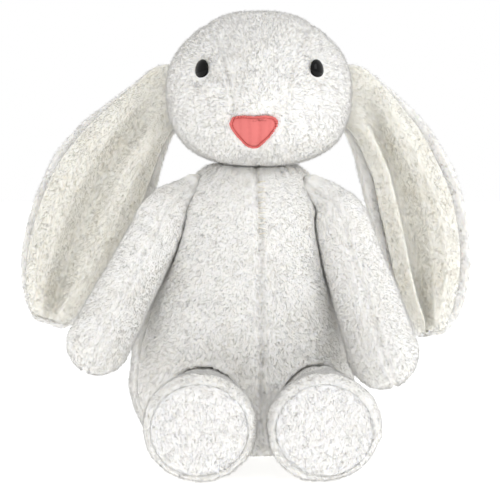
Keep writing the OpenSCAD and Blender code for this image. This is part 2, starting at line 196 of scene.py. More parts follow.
@dataclass
class Skin:
    """A mesh in mm, as points and quads or triangles."""

    points: Array
    faces: list[tuple[int, ...]]

    def object(self, name: str) -> bpy.types.Object:
        """The mesh as an object in the scene, in metres.

        Args:
            name: name of the piece.

        Returns:
            The new object, smooth shaded.
        """
        mesh = bpy.data.meshes.new(name)
        mesh.from_pydata((self.points * MM).tolist(), [], self.faces)
        mesh.polygons.foreach_set("use_smooth", np.ones(len(mesh.polygons), bool))
        mesh.update()
        made = bpy.data.objects.new(name, mesh)
        bpy.context.scene.collection.objects.link(made)
        return made

    def normals(self) -> Array:
        """Outward unit normal at each point."""
        out = np.zeros_like(self.points)
        by_size: dict[int, list[tuple[int, ...]]] = {}
        for f in self.faces:
            by_size.setdefault(len(f), []).append(f)
        for size, members in by_size.items():
            ids = np.array(members)
            p = self.points[ids]
            across = p[:, 2] - p[:, 0]
            other = p[:, 3] - p[:, 1] if size == 4 else p[:, 1] - p[:, 0]
            n = np.cross(across, other) if size == 4 else np.cross(other, across)
            for k in range(size):
                np.add.at(out, ids[:, k], n)
        return unit(out)

    def finer(self, levels: int) -> "Skin":
        """The mesh after some levels of smooth subdivision."""
        held = self.object("subdividing")
        modifier = held.modifiers.new("Finer", "SUBSURF")
        modifier.levels = modifier.render_levels = levels
        return taken_back(held)

    def inflated(self, pinned: Array, cap: float) -> "Skin":
        """The mesh as cloth blown up from inside, held where it is pinned.

        Args:
            pinned: weight of each point, 1 where a seam or a root holds it.
            cap: farthest that a point may move, in mm.

        Returns:
            The mesh with its points moved.
        """
        held = self.object("inflating")
        group = held.vertex_groups.new(name="seams")
        for i in np.nonzero(pinned > PIN_LEAST)[0]:
            group.add([int(i)], float(min(pinned[i], 1.0)), "REPLACE")
        cloth = held.modifiers.new("Cloth", "CLOTH")
        cloth.settings.quality = CLOTH_QUALITY
        cloth.settings.mass = CLOTH_MASS
        cloth.settings.use_pressure = True
        cloth.settings.uniform_pressure_force = CLOTH_PRESSURE
        cloth.settings.effector_weights.gravity = 0.0
        cloth.settings.vertex_group_mass = "seams"
        cloth.point_cache.frame_start = 1
        cloth.point_cache.frame_end = CLOTH_FRAMES
        for step in range(1, CLOTH_FRAMES + 1):
            bpy.context.scene.frame_set(step)
        blown = taken_back(held)
        bpy.context.scene.frame_set(1)
        move = blown.points - self.points
        reach = np.linalg.norm(move, axis=1, keepdims=True)
        move *= np.minimum(1.0, cap / np.maximum(reach, 1e-9))
        return Skin(self.points + move, self.faces)


def taken_back(held: bpy.types.Object) -> Skin:
    """The evaluated mesh of an object as a Skin, with the object removed.

    Args:
        held: an object whose modifiers are to be applied.

    Returns:
        Its final mesh, in mm.
    """
    graph = bpy.context.evaluated_depsgraph_get()
    mesh = bpy.data.meshes.new_from_object(held.evaluated_get(graph))
    co = np.zeros(len(mesh.vertices) * 3)
    mesh.vertices.foreach_get("co", co)
    faces = [tuple(p.vertices) for p in mesh.polygons]
    old = held.data
    bpy.data.objects.remove(held)
    bpy.data.meshes.remove(mesh)
    bpy.data.meshes.remove(old)
    return Skin(co.reshape(-1, 3) / MM, faces)


def ring_mesh(rings: Array, start: Array | None, end: Array | None) -> Skin:
    """Closed rings of points joined into a tube.

    Args:
        rings: points as [ring, place round it, xyz].
        start: point that closes the first ring, or None to leave it open.
        end: point that closes the last ring, or None.

    Returns:
        The tube, wound outward when the rings turn right-handed about their advance.
    """
    count, around = rings.shape[:2]
    points = [rings.reshape(-1, 3)]
    faces: list[tuple[int, ...]] = []
    for i in range(count - 1):
        for j in range(around):
            k = (j + 1) % around
            faces.append((i * around + j, i * around + k, (i + 1) * around + k, (i + 1) * around + j))
    if start is not None:
        points.append(start[None])
        tip = count * around
        faces += [(tip, (j + 1) % around, j) for j in range(around)]
    if end is not None:
        tip = sum(len(p) for p in points)
        points.append(end[None])
        last = (count - 1) * around
        faces += [(tip, last + j, last + (j + 1) % around) for j in range(around)]
    return Skin(np.vstack(points), faces)


def pile_mesh(skin: Skin, kind: Pile, comb: Array, seed: int, bare: Array | None = None) -> Skin:
    """Tufts of pile over a skin, each a slim spike that leans the way it is combed.

    The sway is given as cell size in mm and strength, for wide swirls and for fine ones.

    Args:
        skin: the surface it grows on.
        kind: kind of pile.
        comb: direction it is combed at each point of the skin.
        seed: seed of the random places.
        bare: share of length lost at each point, 1 where nothing grows.

    Returns:
        One mesh of all the tufts.
    """
    length, radius, spacing, lay = kind.value
    upright, laid, scatter, sunk, least, droop = 0.62, 0.8, 0.3, 0.5, 0.12, 0.035
    swirl, ruffle = (11.0, 0.35), (3.0, 0.2)
    rng = np.random.default_rng(seed)
    tris = np.array([(f[0], f[k], f[k + 1]) for f in skin.faces for k in range(1, len(f) - 1)])
    a, b, c = (skin.points[tris[:, k]] for k in range(3))
    area = np.linalg.norm(np.cross(b - a, c - a), axis=1) / 2
    total = int(area.sum() / spacing**2)
    pick = rng.choice(len(tris), total, p=area / area.sum())
    u, v = rng.random(total), rng.random(total)
    flip = u + v > 1
    u[flip], v[flip] = 1 - u[flip], 1 - v[flip]
    w = np.stack([1 - u - v, u, v], axis=1)[:, :, None]

    def at(values: Array) -> Array:
        """Values at the tufts' roots, mixed from the three corners."""
        return (values[tris[pick]] * w).sum(axis=1)

    n = unit(at(skin.normals()))
    root = at(skin.points)
    way = at(comb)
    along = unit(way - n * (way * n).sum(axis=1, keepdims=True))
    side = np.cross(n, along)
    sway = noise(root, swirl[0], seed + 1) * swirl[1] + noise(root, ruffle[0], seed + 2) * ruffle[1]
    jitter = rng.normal(0, scatter, (total, 3))
    lean = unit(n * upright + along * lay * laid + side * sway[:, None] + jitter)
    grow = np.ones(total) if bare is None else 1 - np.clip(at(bare[:, None])[:, 0], 0, 1)
    reach = length * grow * (0.75 + 0.5 * rng.random(total)) * (1 + 0.15 * noise(root, 4.0, seed + 3))
    keep = grow > least
    n, root, lean, reach, side = n[keep], root[keep], lean[keep], reach[keep], side[keep]
    total = len(root)
    right = unit(np.cross(lean, n + 0.3 * side))
    up = np.cross(right, lean)
    foot = root - n * sunk
    spin = rng.random(total) * FULL_TURN
    corners = []
    for k in range(3):
        turn = (spin + k * FULL_TURN / 3)[:, None]
        corners.append(foot + radius * (right * np.cos(turn) + up * np.sin(turn)))
    tip = foot + lean * (reach + sunk)[:, None] - n * (reach**2 * droop)[:, None]
    points = np.stack([*corners, tip], axis=1).reshape(-1, 3)
    ids = np.arange(total) * 4
    faces = np.concatenate([np.stack([ids + k, ids + (k + 1) % 3, ids + 3], axis=1) for k in range(3)])
    return Skin(points, [tuple(f) for f in faces.tolist()])


# ---------------------------------------------------------------------------
# materials
# ---------------------------------------------------------------------------


def linear(hex_colour: str) -> tuple[float, float, float, float]:
    """A colour given in sRGB hex as linear RGBA."""
    parts = [int(hex_colour[i : i + 2], 16) / 255 for i in (1, 3, 5)]
    r, g, b = (p / 12.92 if p <= 0.04045 else ((p + 0.055) / 1.055) ** 2.4 for p in parts)
    return (r, g, b, 1.0)


def add_node(tree: bpy.types.NodeTree, kind: str, links: dict | None = None,
             **settings: object) -> bpy.types.Node:
    """Adds one shader node.

    Args:
        tree: the material's node tree.
        kind: node type.
        links: input name or number to an output socket, or to a constant.
        settings: properties of the node itself.

    Returns:
        The new node.
    """
    node = tree.nodes.new(kind)
    for key, value in settings.items():
        setattr(node, key, value)
    for key, value in (links or {}).items():
        if isinstance(value, bpy.types.NodeSocket):
            tree.links.new(value, node.inputs[key])
        else:
            node.inputs[key].default_value = value
    return node


def two_tone(tree: bpy.types.NodeTree, factor: bpy.types.NodeSocket, low: str, high: str,
             span: tuple[float, float]) -> bpy.types.NodeSocket:
    """Colour that runs from one tone to another as a factor passes through a span."""
    ramp = add_node(tree, "ShaderNodeValToRGB", {"Fac": factor})
    ramp.color_ramp.elements[0].position, ramp.color_ramp.elements[1].position = span
    ramp.color_ramp.elements[0].color = linear(low)
    ramp.color_ramp.elements[1].color = linear(high)
    return ramp.outputs["Color"]


def wave_scale(spacing_mm: float) -> float:
    """Scale of a band texture whose bands stand this far apart, with twenty bands to the unit of scale."""
    return 1 / (spacing_mm * MM) / 20


@dataclass
class Shader:
    """A new material with its surface shader and the object's own coordinates."""

    name: str

    def __post_init__(self) -> None:
        self.material = bpy.data.materials.new(self.name)
        self.material.use_nodes = True
        self.tree = self.material.node_tree
        self.bsdf = self.tree.nodes["Principled BSDF"]
        self.place = add_node(self.tree, "ShaderNodeTexCoord").outputs["Object"]

    def wear(self, colour: bpy.types.NodeSocket, height: bpy.types.NodeSocket, strength: float,
             depth_mm: float) -> None:
        """Gives the surface its colour and a fine relief.

        Args:
            colour: the base colour.
            height: the relief's height, from 0 to 1.
            strength: how much of the relief shows.
            depth_mm: depth of the relief.
        """
        relief = add_node(self.tree, "ShaderNodeBump",
                          {"Height": height, "Strength": strength, "Distance": depth_mm * MM})
        self.tree.links.new(colour, self.bsdf.inputs["Base Color"])
        self.tree.links.new(relief.outputs["Normal"], self.bsdf.inputs["Normal"])

    def set(self, values: dict[str, object]) -> None:
        """Sets constant inputs of the surface shader."""
        for name, value in values.items():
            self.bsdf.inputs[name].default_value = value


@dataclass(frozen=True)
class KnitPlush:
    """Polyester pile fabric: a knit backing with brushed, cut pile. Matte, with a soft bloom at its edges."""

    name: str
    tone: str
    shade: str
    patch_mm: float = 24.0
    tuft_mm: float = 2.2
    sheen: float = 0.25
    bump: float = 0.2
    depth_mm: float = 3.0
    glow: float = 0.0

    def material(self) -> bpy.types.Material:
        """Builds the material."""
        made = Shader(self.name)
        patches = add_node(made.tree, "ShaderNodeTexNoise", {"Vector": made.place, "Detail": 3.0,
                                                             "Scale": 1 / (self.patch_mm * MM), "Roughness": 0.55})
        tufts = add_node(made.tree, "ShaderNodeTexNoise", {"Vector": made.place, "Detail": 4.0,
                                                           "Scale": 1 / (self.tuft_mm * MM), "Roughness": 0.65})
        mixed = add_node(made.tree, "ShaderNodeMath",
                         {0: patches.outputs["Fac"], 1: tufts.outputs["Fac"]}, operation="ADD")
        colour = two_tone(made.tree, mixed.outputs["Value"], self.shade, self.tone, (0.7, 1.15))
        made.wear(colour, tufts.outputs["Fac"], self.bump, 1.2)
        made.set({"Roughness": 0.92, "IOR": 1.45, "Specular IOR Level": 0.15, "Subsurface Weight": 0.3,
                  "Subsurface Radius": (1.0, 0.88, 0.66), "Subsurface Scale": self.depth_mm * MM,
                  "Sheen Weight": self.sheen, "Sheen Roughness": 0.55, "Sheen Tint": linear("#FFFDF8")})
        through = add_node(made.tree, "ShaderNodeBsdfTranslucent", {"Color": colour})
        both = add_node(made.tree, "ShaderNodeMixShader",
                        {"Fac": self.glow, 1: made.bsdf.outputs["BSDF"], 2: through.outputs["BSDF"]})
        made.tree.links.new(both.outputs["Shader"], made.tree.nodes["Material Output"].inputs["Surface"])
        return made.material


@dataclass(frozen=True)
class SatinStitch:
    """Embroidery thread laid side by side over felt: fine parallel ridges with a silky gloss."""

    name: str = "satin stitched felt"
    tone: str = "#D46E6A"
    shade: str = "#CB6561"
    thread_mm: float = 0.9

    def material(self) -> bpy.types.Material:
        """Builds the material."""
        made = Shader(self.name)
        threads = add_node(made.tree, "ShaderNodeTexWave",
                           {"Vector": made.place, "Scale": wave_scale(self.thread_mm), "Distortion": 1.5,
                            "Detail": 2.0, "Detail Scale": 1.5},
                           wave_type="BANDS", bands_direction="X")
        fuzz = add_node(made.tree, "ShaderNodeTexNoise", {"Vector": made.place, "Scale": 700.0, "Detail": 4.0})
        both = add_node(made.tree, "ShaderNodeMath", {0: threads.outputs["Fac"], 1: fuzz.outputs["Fac"]},
                        operation="ADD")
        made.wear(two_tone(made.tree, both.outputs["Value"], self.shade, self.tone, (0.2, 1.4)),
                  both.outputs["Value"], 0.35, 0.4)
        made.set({"Roughness": 0.62, "Sheen Weight": 0.3, "Sheen Roughness": 0.4})
        return made.material


@dataclass(frozen=True)
class SewingThread:
    """Spun polyester thread: twisted plies that show as slanting ridges."""

    name: str
    tone: str
    shade: str
    twist_mm: float = 0.8

    def material(self) -> bpy.types.Material:
        """Builds the material."""
        made = Shader(self.name)
        plies = add_node(made.tree, "ShaderNodeTexWave",
                         {"Vector": made.place, "Scale": wave_scale(self.twist_mm), "Distortion": 0.6},
                         wave_type="BANDS", bands_direction="DIAGONAL")
        made.wear(two_tone(made.tree, plies.outputs["Fac"], self.shade, self.tone, (0.2, 0.8)),
                  plies.outputs["Fac"], 0.5, 0.3)
        made.set({"Roughness": 0.6})
        return made.material


@dataclass(frozen=True)
class MouldedPlastic:
    """Injection-moulded plastic: smooth, with faint flow marks and fine scuffs in its gloss."""

    name: str
    tone: str
    shade: str
    roughness: tuple[float, float]
    ior: float = 1.5
    glint: float = 0.5

    def material(self) -> bpy.types.Material:
        """Builds the material."""
        made = Shader(self.name)
        flow = add_node(made.tree, "ShaderNodeTexNoise", {"Vector": made.place, "Scale": 260.0, "Detail": 3.0})
        colour = two_tone(made.tree, flow.outputs["Fac"], self.shade, self.tone, (0.3, 0.7))
        gloss = add_node(made.tree, "ShaderNodeMapRange", {"Value": flow.outputs["Fac"],
                                                           "To Min": self.roughness[0],
                                                           "To Max": self.roughness[1]})
        made.tree.links.new(colour, made.bsdf.inputs["Base Color"])
        made.tree.links.new(gloss.outputs["Result"], made.bsdf.inputs["Roughness"])
        made.set({"IOR": self.ior, "Specular IOR Level": self.glint})
        return made.material


PLUSH = KnitPlush("white cut pile plush", "#ECEBE8", "#E5E3DE")
# The lining is near-white; its faint cream tint is painted shade, standing in for the warm shade that falls in the
# ear's valley.
LINING_WITH_PAINTED_VALLEY_SHADE = KnitPlush("cream short pile lining", "#ECEAE2", "#E5E1D5", sheen=0.2)
SOLE = KnitPlush("white sole plush", "#ECEBE9", "#E5E3DF", tuft_mm=1.9)
NOSE = SatinStitch()
NOSE_EDGE = SewingThread("coral embroidery thread", "#D16A66", "#CA625E")
SEAM_THREAD = SewingThread("off-white sewing thread", "#F0ECE2", "#DDD6C6")
EYE = MouldedPlastic("polished black acrylic", "#050505", "#020202", (0.04, 0.09), ior=1.49, glint=0.16)
WASHER = MouldedPlastic("natural polypropylene", "#DEDDD8", "#CFCEC8", (0.4, 0.55))


class Finishes:
    """Each finish's material, made once."""

    made: dict[str, bpy.types.Material] = {}

    @classmethod
    def of(cls, finish: KnitPlush | SatinStitch | SewingThread | MouldedPlastic) -> bpy.types.Material:
        """The material of a finish."""
        if finish.name not in cls.made:
            cls.made[finish.name] = finish.material()
        return cls.made[finish.name]


def dressed(piece: bpy.types.Object, finish: object) -> bpy.types.Object:
    """Gives a piece its finish."""
    piece.data.materials.append(Finishes.of(finish))
    return piece


def report(piece: bpy.types.Object) -> None:
    """Logs a finished piece."""
    size = tuple(round(d / MM) for d in piece.dimensions)
    LOG.info("%s: %d faces, %s mm", piece.name, len(piece.data.polygons), size)


# ---------------------------------------------------------------------------
# places taken from the frame
# ---------------------------------------------------------------------------


def joint_mm(name: str) -> Array:
    """Where a joint of the record stands, in mm."""
    found = next(j for j in frame["record"]["behaviour"]["joints"] if j["name"] == name)
    return np.array(found["pos_m"]) / MM


def box_mm(*nodes: str) -> tuple[Array, Array]:
    """Lowest and highest corner of several CAD nodes together, in mm."""
    lows, highs = zip(*(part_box(n) for n in nodes))
    return np.min(lows, axis=0) / MM, np.max(highs, axis=0) / MM


@dataclass(frozen=True)
class Follow:
    """The body a piece moves with, or the two bodies it lies between."""

    body: str
    other: str = ""
    start: tuple[float, ...] = ()
    end: tuple[float, ...] = ()

    def attach(self, piece: bpy.types.Object) -> None:
        """Ties a piece to its body; with two bodies it only bakes the piece's place into its mesh."""
        if self.other:
            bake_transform(piece)
        else:
            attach(piece, self.body)


def metres(p: Array) -> tuple[float, ...]:
    """A point in mm as a tuple in metres."""
    return tuple(float(v) * MM for v in p)


# ---------------------------------------------------------------------------
# soft shapes
# ---------------------------------------------------------------------------


@dataclass
class Tube:
    """A round stuffed shape along a bent middle line.

    line holds the points of the middle line, and profile the rows of distance along it and radius.
    """

    line: Array
    profile: Array
    facing: Array

    def _travel(self) -> Array:
        """Distance along the line at each of its points."""
        steps = np.linalg.norm(np.diff(self.line, axis=0), axis=1)
        return np.concatenate([[0.0], np.cumsum(steps)])

    def at(self, d: Array) -> Array:
        """Points of the middle line at distances d, straight on past its ends."""
        travel = self._travel()
        inner = np.stack([np.interp(d, travel, self.line[:, k]) for k in range(3)], axis=1)
        first = unit(self.line[1] - self.line[0])
        last = unit(self.line[-1] - self.line[-2])
        return inner + np.minimum(d, 0)[:, None] * first + np.maximum(d - travel[-1], 0)[:, None] * last

    def along(self, d: Array) -> Array:
        """Unit directions of the line at distances d."""
        return unit(self.at(d + 2.0) - self.at(d - 2.0))

    def axes(self, d: Array) -> tuple[Array, Array]:
        """The two directions across the line at distances d."""
        way = self.along(d)
        u = unit(self.facing - way * (way @ self.facing)[:, None])
        return u, np.cross(way, u)

    def mesh(self, around: int) -> Skin:
        """The tube as rings of points, closed at both ends."""
        d, r = self.profile[1:-1, 0], self.profile[1:-1, 1]
        u, v = self.axes(d)
        a = round_angles(around)
        ring = u[:, None] * np.cos(a)[None, :, None] + v[:, None] * np.sin(a)[None, :, None]
        ends = self.at(self.profile[[0, -1], 0])
        return ring_mesh(self.at(d)[:, None] + ring * r[:, None, None], ends[0], ends[1])

    def places(self, p: Array) -> tuple[Array, Array, Array]:
        """Distance along the line, angle round it and distance from it, for each point."""
        tests = np.linspace(self.profile[0, 0], self.profile[-1, 0], 60)
        line = self.at(tests)
        d = tests[np.argmin(np.linalg.norm(p[:, None] - line[None], axis=2), axis=1)]
        for _ in range(2):
            d = d + ((p - self.at(d)) * self.along(d)).sum(axis=1)
            d = np.clip(d, self.profile[0, 0], self.profile[-1, 0])
        u, v = self.axes(d)
        off = p - self.at(d)
        return d, np.arctan2((off * v).sum(1), (off * u).sum(1)), np.linalg.norm(off, axis=1)

    def holds(self, p: Array, room: float) -> Array:
        """Whether each point lies in the tube grown by some room."""
        near = np.zeros(len(p), bool)
        low, high = self.line.min(axis=0), self.line.max(axis=0)
        reach = self.profile[:, 1].max() + room
        ahead = -self.profile[0, 0] + reach
        rough = ((p > low - ahead) & (p < high + ahead)).all(axis=1)
        if not rough.any():
            return near
        q = p[rough]
        d, _, off = self.places(q)
        near[rough] = off < np.interp(d, self.profile[:, 0], self.profile[:, 1]) + room
        return near


def pressed(skin: Skin, inward: Array, inside: Callable[[Array], Array],
            most: float = 60.0) -> tuple[Skin, Array]:
    """A skin pushed in wherever a neighbour lies in its way.

    Args:
        skin: the skin to press.
        inward: unit direction in which each of its points gives way.
        inside: tells which points lie in a neighbour.
        most: farthest that a point may be pushed, in mm.

    Returns:
        The pressed skin, and how far each point went.
    """
    step = 0.7
    gone = np.zeros(len(skin.points))
    for _ in range(int(most / step)):
        hit = inside(skin.points + inward * gone[:, None])
        if not hit.any():
            break
        gone[hit] += step
    return Skin(skin.points + inward * gone[:, None], skin.faces), gone


def lumps(p: Array, size: float, seed: int) -> Array:
    """Gentle unevenness of stuffing under a skin, in mm."""
    wide, middling, fine = noise(p, 24.0, seed), noise(p, 10.0, seed + 1), noise(p, 4.5, seed + 2)
    return size * (0.8 * wide + 0.4 * middling + 0.16 * fine)


def swept(rows: list[tuple[float, float]], count: int) -> Array:
    """A smooth profile through a few rows of distance and radius, closed down to a small pole."""
    line = catmull(np.array(rows, float), count)
    line[:, 1] = np.maximum(line[:, 1], POLE)
    return line


def merged(skins: list[Skin]) -> Skin:
    """Several meshes as one."""
    points: list[Array] = []
    faces: list[tuple[int, ...]] = []
    total = 0
    for s in skins:
        points.append(s.points)
        faces += [tuple(i + total for i in f) for f in s.faces]
        total += len(s.points)
    return Skin(np.vstack(points), faces)


def reversed_faces(skin: Skin) -> Skin:
    """A mesh turned inside out."""
    return Skin(skin.points, [tuple(reversed(f)) for f in skin.faces])


def thread_run(a: Array, b: Array, radius: float, lift: Array) -> Skin:
    """One stitch: a thread that comes up at a, lies over the cloth and goes down at b.

    Args:
        a: where it comes up.
        b: where it goes down.
        radius: radius of the thread.
        lift: direction away from the cloth.

    Returns:
        The stitch as a mesh.
    """
    arch, sunk, tip = 1.2, 0.9, 0.05
    t = np.linspace(0, 1, 9)
    line = a + (b - a) * t[:, None] + lift * (np.sin(math.pi * t) * radius * arch - radius * sunk)[:, None]
    length = float(np.linalg.norm(b - a))
    rows = [[-radius, tip], [-radius * 0.6, radius * 0.8], [0.0, radius]]
    rows += [[length * 0.25, radius * 1.08], [length * 0.5, radius * 1.1], [length * 0.75, radius * 1.08]]
    rows += [[length, radius], [length + radius * 0.6, radius * 0.8], [length + radius, tip]]
    return Tube(line, np.array(rows), lift).mesh(8)


@dataclass
class Plush:
    """A stuffed piece of the toy: its skin, and the pile that grows on it.

    glow is the share of light that passes through the fibres.
    """

    name: str
    skin: Skin
    finish: KnitPlush
    slot: str
    pile: Pile
    comb: Array
    follow: Follow
    nodes: tuple[str, ...]
    fill: float
    seed: int
    bare: Array | None = None
    glow: float = 0.25

    def build(self) -> None:
        """Makes the piece and its pile, and ties both to their body, or bakes their place where they lie between two
        bodies.
        """
        body = dressed(self.skin.object(self.name), self.finish)
        tufts = pile_mesh(self.skin, self.pile, self.comb, self.seed, self.bare)
        fibres = replace(self.finish, name=self.finish.name + " fibres", glow=self.glow)
        grown = dressed(tufts.object(self.name + ".pile"), fibres)
        for piece in (body, grown):
            self.follow.attach(piece)
            report(piece)
        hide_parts(*self.nodes)


def surface_of(skin: Skin) -> BVHTree:
    """A search tree over a skin, in mm."""
    return BVHTree.FromPolygons([tuple(p) for p in skin.points.tolist()], skin.faces)


def front_of(tree: BVHTree, x: float, z: float) -> tuple[Array, Array]:
    """The foremost point of a skin at x and z, and its outward normal."""
    well_ahead = -400.0
    place, normal, _, _ = tree.ray_cast(Vector((x, well_ahead, z)), Vector((0.0, 1.0, 0.0)))
    n = np.array(normal)
    return np.array(place), n if n[1] < 0 else -n


# ---------------------------------------------------------------------------
# sub-assemblies
# ---------------------------------------------------------------------------


@dataclass
class Head:
    """The head: a broad oval with full cheeks, a gusset over the crown and a chin seam."""

    down: float = 47.5
    middle: float = 225.0
    drop: float = 19.0
    cheek: float = 2.6
    crown_gusset: float = 33.0
    nose_gusset: float = 15.0
    nape_gusset: float = 12.0
    seam_depth: float = 0.9
    seam_width: float = 2.6
    narrower: float = 2.5
    bend: float = 1.5
    rings: int = 34
    around: int = 72

    def __post_init__(self) -> None:
        low, high = box_mm("head_gusset", "head_side_left", "head_side_right")
        self.half = (high[0] - low[0]) / 2 - self.narrower
        self.front, self.back = -low[1], high[1]
        self.up = high[2] - self.middle

    def gusset(self, v: Array) -> Array:
        """Half-width of the gusset at ring v."""
        c = np.cos(math.pi * v)
        return np.where(v < 0.5, self.crown_gusset + (self.nape_gusset - self.crown_gusset) * c**2,
                        self.crown_gusset + (self.nose_gusset - self.crown_gusset) * np.abs(c) ** self.bend)

    def point(self, v: Array, u: Array) -> Array:
        """Points at ring v, from nape to nose, and angle u round the ring."""
        s, c = np.sin(math.pi * v), np.cos(math.pi * v)
        fore = np.maximum(-c, 0)
        low = np.sin(u) < 0
        p = np.where(low, 2 / self.cheek, 1.0)
        tall = np.where(low, self.down, self.up)
        x = self.half * s * signed_power(np.cos(u), p)
        y = np.where(c > 0, self.back, self.front) * c
        z = self.middle - self.drop * fore**self.bend + tall * s * signed_power(np.sin(u), p)
        return np.stack([x, y, z], axis=-1)

    def share(self, p: Array, grow: float = 0.0) -> Array:
        """How far out each point lies, 1 being on the plain oval grown by some room."""
        c = np.clip(p[:, 1] / (np.where(p[:, 1] > 0, self.back, self.front) + grow), -1, 1)
        s = np.sqrt(1 - c * c) + 1e-6
        dz = p[:, 2] - self.middle + self.drop * np.maximum(-c, 0) ** self.bend
        tall = np.where(dz > 0, self.up, self.down) + grow
        power = np.where(dz > 0, 2.0, self.cheek)
        wide = self.half + grow
        return (np.abs(p[:, 0]) / (wide * s)) ** power + (np.abs(dz) / (tall * s)) ** power

    def seams(self, p: Array, n: Array) -> Array:
        """Distance of each point from the nearest seam, in mm."""
        steepest, gusset_low, chin_top, nape = 0.35, -4, -2, 40
        c = p[:, 1] / np.where(p[:, 1] > 0, self.back, self.front)
        v = np.arccos(np.clip(c, -1, 1)) / math.pi
        dz = p[:, 2] - self.middle + self.drop * np.maximum(-c, 0) ** self.bend
        over = np.abs(np.abs(p[:, 0]) - self.gusset(v)) / np.maximum(np.abs(n[:, 2]), steepest)
        over = np.where(dz > gusset_low, over, FAR)
        chin = np.where((dz < chin_top) & (p[:, 1] < nape), np.abs(p[:, 0]), FAR)
        return np.minimum(over, chin)

    def build(self, face: "Face", neighbours: Callable[[Array], Array]) -> Skin:
        """Builds the head.

        Args:
            face: the face, whose eyes and nose leave the pile bare.
            neighbours: tells which points lie in the neck or an ear root.

        Returns:
            The finished skin, for the face to sit on.
        """
        v = (np.arange(self.rings) + 0.6) / (self.rings + 0.2)
        u = round_angles(self.around)
        grid = self.point(v[:, None] + 0 * u[None], u[None] + 0 * v[:, None])
        base = ring_mesh(grid, np.array([0.0, self.back, self.middle]),
                         np.array([0.0, -self.front, self.middle - self.drop]))
        n = base.normals()
        under = bump(np.abs(base.points[:, 2] - self.middle + self.down), 0, 14.0)
        held = np.maximum(bump(self.seams(base.points, n), 0, 4.0), face.hold(base.points))
        held = np.maximum(held, under)
        full = base.inflated(held, 2.2).finer(2)
        n = full.normals()
        p = full.points
        seam = self.seams(p, n)
        groove = bump(seam, 0, self.seam_width)
        pucker = 0.35 * noise(p * np.array([0.6, 1.6, 1.6]), 3.6, 71) * bump(seam, 0, 7.0)
        shift = lumps(p, 0.9, 11) - self.seam_depth * groove + pucker - face.dimple(p) + face.creases(p)
        skin = Skin(p + n * shift[:, None], full.faces)
        inward = unit(np.array([0.0, 0.0, self.middle]) - skin.points)
        skin, gone = pressed(skin, inward, neighbours)
        out = np.abs(p[:, 0])
        down = 0.75 * smooth(out, 10, 50) + 0.5 * smooth(self.middle - p[:, 2], -5, 30)
        comb = np.stack([0.5 * np.sign(p[:, 0]) * smooth(out, 5, 40), np.ones(len(p)), -down], axis=1)
        bare = np.clip(np.maximum(face.bare(skin.points), gone / 2), 0, 1)
        Plush("head", skin, PLUSH, "plush", Pile.LONG, comb, Follow("head"),
              ("head_gusset", "head_side_left", "head_side_right", "head_stuffing"), 0.85, 101, bare).build()
        return skin


